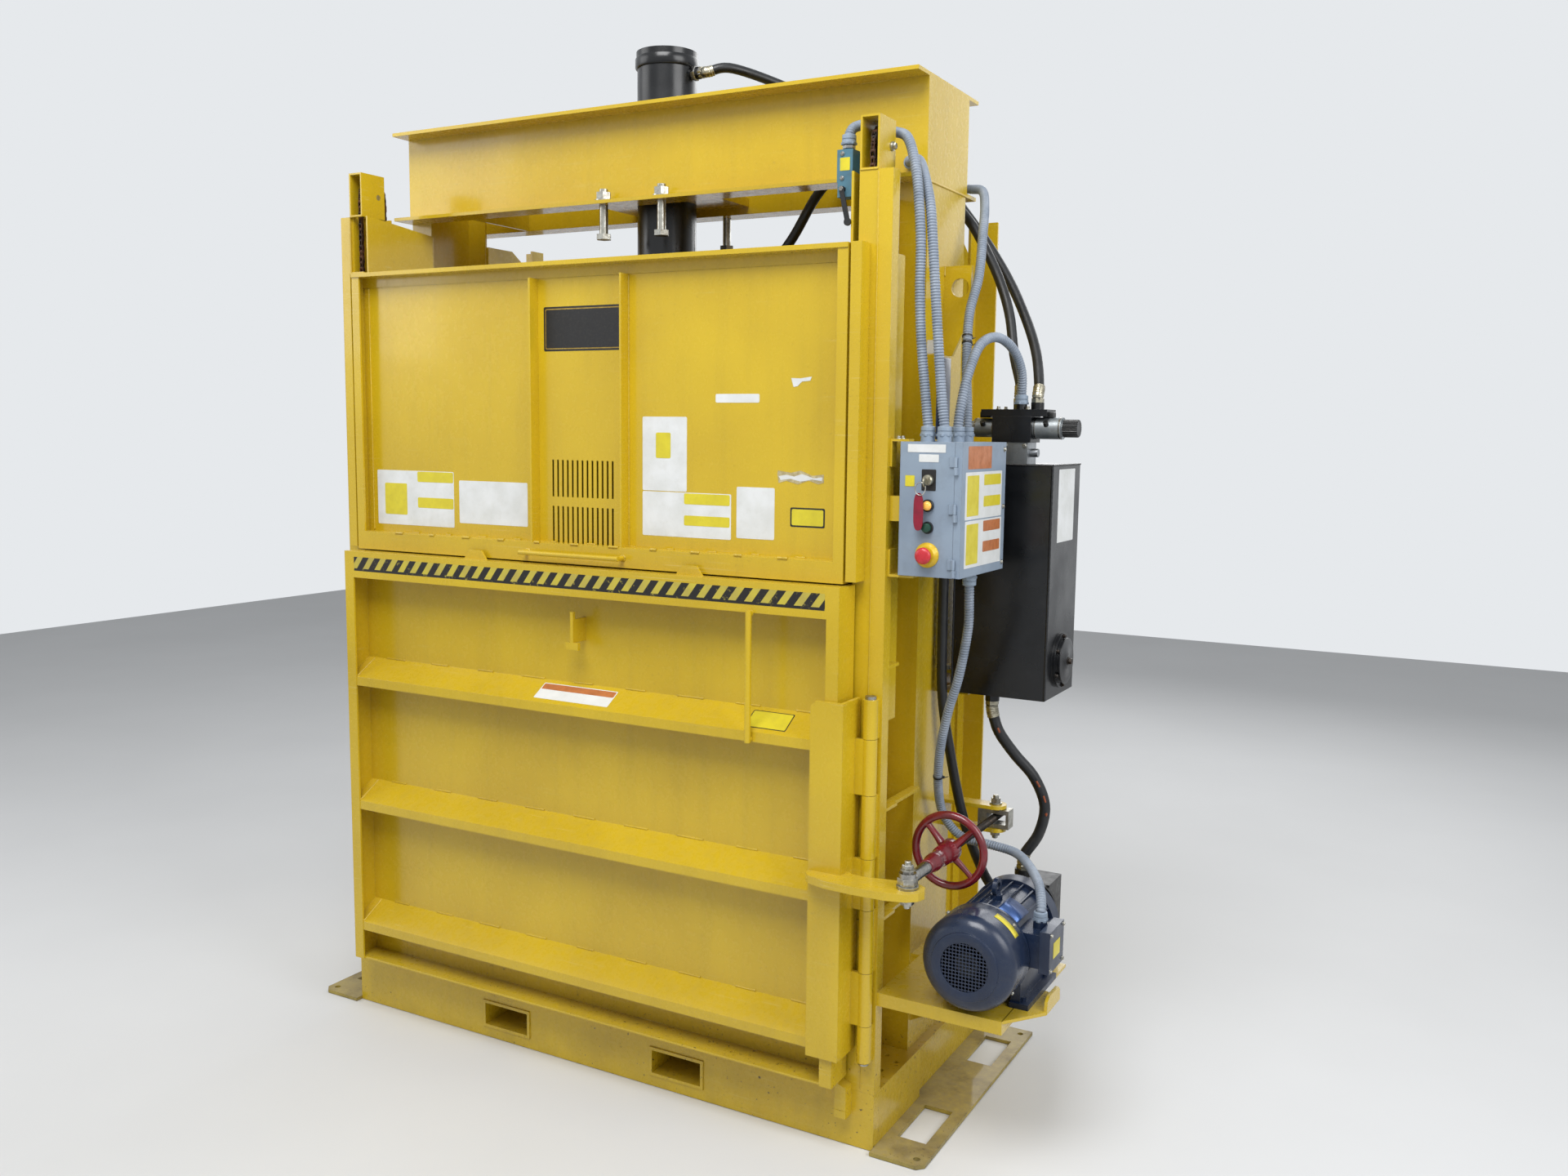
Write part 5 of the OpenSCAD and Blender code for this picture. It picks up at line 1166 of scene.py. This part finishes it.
class BALER_OT_handwheel(bpy.types.Operator):
    """Casts the handwheel and cuts the latch screw's thread"""

    bl_idname = "baler.handwheel"
    bl_label = "Handwheel and screw"

    def execute(self, context):
        sizes = context.scene.baler_sizes
        x, y, z = TURN_X, 165.0, 762.0

        # the rim: a ring of radius 91.5 and 10.4 round, with 24 shallow finger waves on its far side
        t = 2 * np.pi * np.arange(sizes.wheel_sides)[:, None] / sizes.wheel_sides
        p = 2 * np.pi * np.arange(16)[None] / 16
        r = 91.5 + 10.4 * np.cos(p) * (1 + 0 * t)
        grip = 10.4 * np.sin(p) - 0.6 * np.cos(24 * t) * (np.sin(p) > 0.3)
        parts = [lattice(np.stack([x + r * np.cos(t), y + grip, z + r * np.sin(t)], 2), True, True)]
        s = np.linspace(0, 1, 9)
        reach, thick = 12 + 76 * s, 8.2 + 5.5 * (1 - s) ** 2 + 2.5 * np.maximum(s - 0.85, 0) * 6
        for a in np.radians([45, 135, 225, 315]):
            spoke = np.stack([x + reach * math.cos(a), y - 9 * (1 - s) ** 2, z + reach * math.sin(a)], 1)
            parts.append(sweep(spoke, thick, 14, 0.8))
        hub = [(-150, 11.1), (-150, 16.5), (-148, 18.5), (-120, 19.5), (-115, 22.5), (-97, 23.2), (-93, 21.2),
               (-60, 22.6), (-56, 25.4), (-20, 26.5), (-15, 29), (10, 29), (15, 25), (16, 19), (16, 11.1)]
        parts.append(collar(hub, (x, y, z), BACK, 48))
        piece("cast_handwheel", parts, "wheel_enamel", "screw", ("handwheel",), 50)

        # the screw: rings a sixth of a pitch apart, cut 1.7 mm deep where the thread runs, smooth in the hub
        near, far = (BASE_FRONT + corner.y * 1000 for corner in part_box("latch_screw"))
        thread, full, cut = sizes.thread * 1000, 10.9, 1.7
        rows = np.arange(near + 1, far - 1, thread / 6)
        a = 2 * np.pi * np.arange(20) / 20
        beat = np.abs((rows[:, None] / thread - a / (2 * np.pi)) % 1 - 0.5) * 2
        in_hub = ((rows > y - 152) & (rows < y + 18))[:, None]
        r = np.where(in_hub, full, full - cut * np.clip(beat * 1.8 - 0.4, 0, 1))
        rows = np.r_[rows[0] - 1, rows, rows[-1] + 1]
        r = np.vstack([0 * r[:1], r, 0 * r[:1]])
        screw = lattice(np.stack([x + r * np.cos(a), rows[:, None] + 0 * a, z + r * np.sin(a)], 2))
        piece("threaded_screw", [screw], "dark_bar_steel", "screw", ("latch_screw",), 50)
        sleeve = [(-238, 10.5), (-238, 13), (-236, 14.5), (-176, 14.5), (-172, 15.6), (-153, 15.6),
                  (-151.5, 14), (-151.5, 10.5)]
        piece("screw_sleeve", [collar(sleeve, (x, y, z), BACK, 32)], "bright_steel", "screw")
        return {"FINISHED"}


class BALER_OT_welds(bpy.types.Operator):
    """Lays the weld beads along the seams of the frame, the gate and the door"""

    bl_idname = "baler.welds"
    bl_label = "Weld beads"

    def execute(self, context):
        rng = np.random.default_rng(3)
        door, gate, body = [], [], []
        for z in (280, 660, 1040):  # the door's ribs
            for x in np.arange(-700, 720, 175):
                w = rng.uniform(28, 42)
                door.append(bead([(x - w, -11.6, z + 75), (x + w, -11.6, z + 75)], 3.0))
            for s in (-1, 1):
                door.append(bead([(s * 785, -14, z + 72), (s * 785, -88, z + 27)], 3.0))
        door.append(bead([(-784, -13, 1366), (-784, -13, 1436)], 2.6))
        for x in np.arange(-640, 700, 128):  # the gate's bottom bar
            w = rng.uniform(9, 16)
            gate.append(bead([(x - w, -47.5, 1500.2), (x + w, -47.5, 1500.2)], 3.6))
            gate.append(bead([(x - w + 30, -12.0, 1500.6), (x + w + 30, -12.0, 1500.6)], 2.6))
        a = np.linspace(0, 2 * np.pi, 17)
        for s in (-1, 1):
            gate.append(bead([(s * 153.4, -12, 1502), (s * 153.4, -12, 2208)], 2.2))
            gate.append(bead([(s * 776, -12.2, 1504), (s * 776, -12.2, 2210)], 2.2))
            loop = np.stack([s * 160 + 7 * np.cos(a), -49.4 + 0 * a, 1473 + 7 * np.sin(a)], 1)
            gate.append(bead(loop, 2.4))
            body.append(bead([(s * 808, -0.4, 600), (s * 857, -0.4, 600)], 2.2))
            body.append(bead([(s * 857.4, 0, 160), (s * 857.4, 0, 2415)], 1.9))
            body.append(bead([(s * 810, 0, 2421.5), (s * 856, 0, 2421.5)], 2.2))
            body.append(bead([(s * 870.5, 270, 2437), (s * 870.5, 520, 2437)], 2.6))
            for z in (1240, 1700, 2010, 2240):
                body.append(bead([(s * 870.5, 388.2, z - 24), (s * 870.5, 388.2, z)], 2.6))
            for z in (600, 880, 1240):
                body.append(bead([(s * 859, 37.5, z + 4.4), (s * 892, 37.5, z + 4.4)], 2.4))
        for x in np.arange(-800, 820, 190):  # the crown's top flange
            w = rng.uniform(24, 40)
            body.append(bead([(x - w, 257.6, 2688.5), (x + w, 257.6, 2688.5)], 2.6))
        for rides, parts in (("door", door), ("gate", gate), ("frame", body)):
            piece(f"{rides}_welds", parts, "weld_enamel", rides, crease=80)
        return {"FINISHED"}


class BALER_OT_fasteners(bpy.types.Operator):
    """Fits the bolts, nuts and pin heads of the frame"""

    bl_idname = "baler.fasteners"
    bl_label = "Fasteners"

    def execute(self, context):
        axles = [part for s in (-1, 1)
                 for part in hexagon_head((s * 862, WHEEL_Y, WHEEL_Z), (s, 0, 0), 14, 7)]
        brackets = heads([(912, y, 1796) for y in (24, 48)], UP, 9, 5)
        brackets += heads([(898, y, z) for z in (1178, 1648) for y in (420, 484)], UP, 10, 6)
        piece("bracket_bolts", axles + brackets, "zinc_plate", "frame")

        stud = [(-1, 0), (-1, 8), (7, 8), (8.5, 6.8), (8.5, 0)]
        washer = [(-0.5, 20), (-0.5, 26.5), (0.6, 27), (3.2, 27), (3.8, 26), (3.8, 22)]
        low_nut = [(0, 21.5), (0, 24), (1, 24.6), (17, 24.6), (18, 24), (18, 21)]
        x, y = TURN_X, -100
        swivel = [lathe(washer, (x, y, 749), UP, 40), lathe(low_nut, (x, y, 753), UP, 6)]
        swivel += hexagon_head((x, y, 790), UP, 24, 11) + [lathe(stud, (x, y, 803), UP, 24)]
        swivel += hexagon_head((x, y, 721), DOWN, 30, 15) + [lathe(stud, (x, y, 704), DOWN, 24)]
        piece("swivel_nuts", swivel, "zinc_plate", "swivel")
        rear = [lathe(stud, (x, 505, 816), UP, 24), lathe(stud, (x, 505, 711), DOWN, 24)]
        piece("fork_studs", rear, "zinc_plate", "nut")
        return {"FINISHED"}


class BALER_OT_stage(bpy.types.Operator):
    """Lays the pale floor and hangs the soft lamps"""

    bl_idname = "baler.stage"
    bl_label = "Stage"

    def execute(self, context):
        colours, linked = context.scene.baler_colours, context.scene.collection.objects
        material, tree, place = opened("pale_floor")
        share = add(tree, "MapRange", (blotches(tree, place, 900, 4), 0.3, 0.7))
        colour = layered(tree, (*colours.floor, 1), (share, (*(c * 0.96 for c in colours.floor), 1)))
        closed(tree, Base_Color=colour, Roughness=0.7)
        half, below = 9.0, 0.0015  # half the floor's width, and how far it lies under the feet, in metres
        mesh = bpy.data.meshes.new("floor")
        around = ((-half, -half), (half, -half), (half, half), (-half, half))
        mesh.from_pydata([(x, y - BASE_FRONT / 1000, -below) for x, y in around], [], [(0, 1, 2, 3)])
        mesh.materials.append(material)
        ground = bpy.data.objects.new("floor", mesh)
        linked.link(ground)

        # the surroundings light the machine softly, and show white to the camera and in reflections
        world = bpy.data.worlds.new("surroundings")
        world.use_nodes = True
        tree = world.node_tree
        tree.nodes.clear()
        seen = 0.0
        for ray in ("Is Camera Ray", "Is Glossy Ray", "Is Transmission Ray"):
            seen = add(tree, "Math", (seen, add(tree, "LightPath", out=ray)), operation="MAXIMUM")
        soft, pale = (add(tree, "Background", ((*colours.sky, 1), level)) for level in (0.38, 1.0))
        add(tree, "OutputWorld", (add(tree, "MixShader", (seen, soft, pale)),))
        context.scene.world = world

        # square lamps: name, place, the point each looks at, side in metres, watts
        lamps = (("key", (0.9, -3.2, 5.6), (0, -0.2, 1.4), 2.8, 235),
                 ("fill", (4.8, -1.2, 3.6), (0.6, 0, 1.3), 2.8, 120),
                 ("left", (-4.4, -2.6, 3.6), (-0.4, 0, 1.3), 3.0, 60),
                 ("back", (0.5, 4.6, 4.0), (0, 0, 1.6), 3.5, 95))
        for name, place, aim, size, power in lamps:
            data = bpy.data.lights.new(name, "AREA")
            data.shape, data.size, data.energy = "SQUARE", size, power
            lamp = bpy.data.objects.new(name, data)
            ahead = unit(np.subtract(aim, place))
            side = unit(np.cross(ahead, UP))
            lamp.matrix_world = posed(side, np.cross(side, ahead), ahead, place)
            linked.link(lamp)
        context.scene.view_settings.view_transform = "Standard"
        return {"FINISHED"}


STEPS = (BALER_OT_camera, BALER_OT_cords, BALER_OT_paint, BALER_OT_chains, BALER_OT_fields, BALER_OT_controls,
         BALER_OT_motor, BALER_OT_power_unit, BALER_OT_handwheel, BALER_OT_welds, BALER_OT_fasteners,
         BALER_OT_stage)


class BALER_PT_looks(bpy.types.Panel):
    """Lists the sizes and the steps that build the looks"""

    bl_idname = "BALER_PT_looks"
    bl_label = "Baler looks"
    bl_space_type = "VIEW_3D"
    bl_region_type = "UI"
    bl_category = "Baler"

    def draw(self, context):
        for group in (context.scene.baler_sizes, context.scene.baler_colours):
            for name in type(group).__annotations__:
                self.layout.prop(group, name)
        for step in STEPS:
            self.layout.operator(step.bl_idname)


CLASSES = (BalerSizes, BalerColours, *STEPS, BALER_PT_looks)


def register():
    """Registers the classes and gives the scene its sizes and colours."""
    for item in CLASSES:
        bpy.utils.register_class(item)
    bpy.types.Scene.baler_sizes = PointerProperty(type=BalerSizes)
    bpy.types.Scene.baler_colours = PointerProperty(type=BalerColours)


def unregister():
    """Takes them away again."""
    del bpy.types.Scene.baler_sizes
    del bpy.types.Scene.baler_colours
    for item in reversed(CLASSES):
        bpy.utils.unregister_class(item)


def main():
    register()
    for step in STEPS:
        group, action = step.bl_idname.split(".")
        getattr(getattr(bpy.ops, group), action)()
    bpy.context.view_layer.update()


if __name__ == "__main__":
    main()
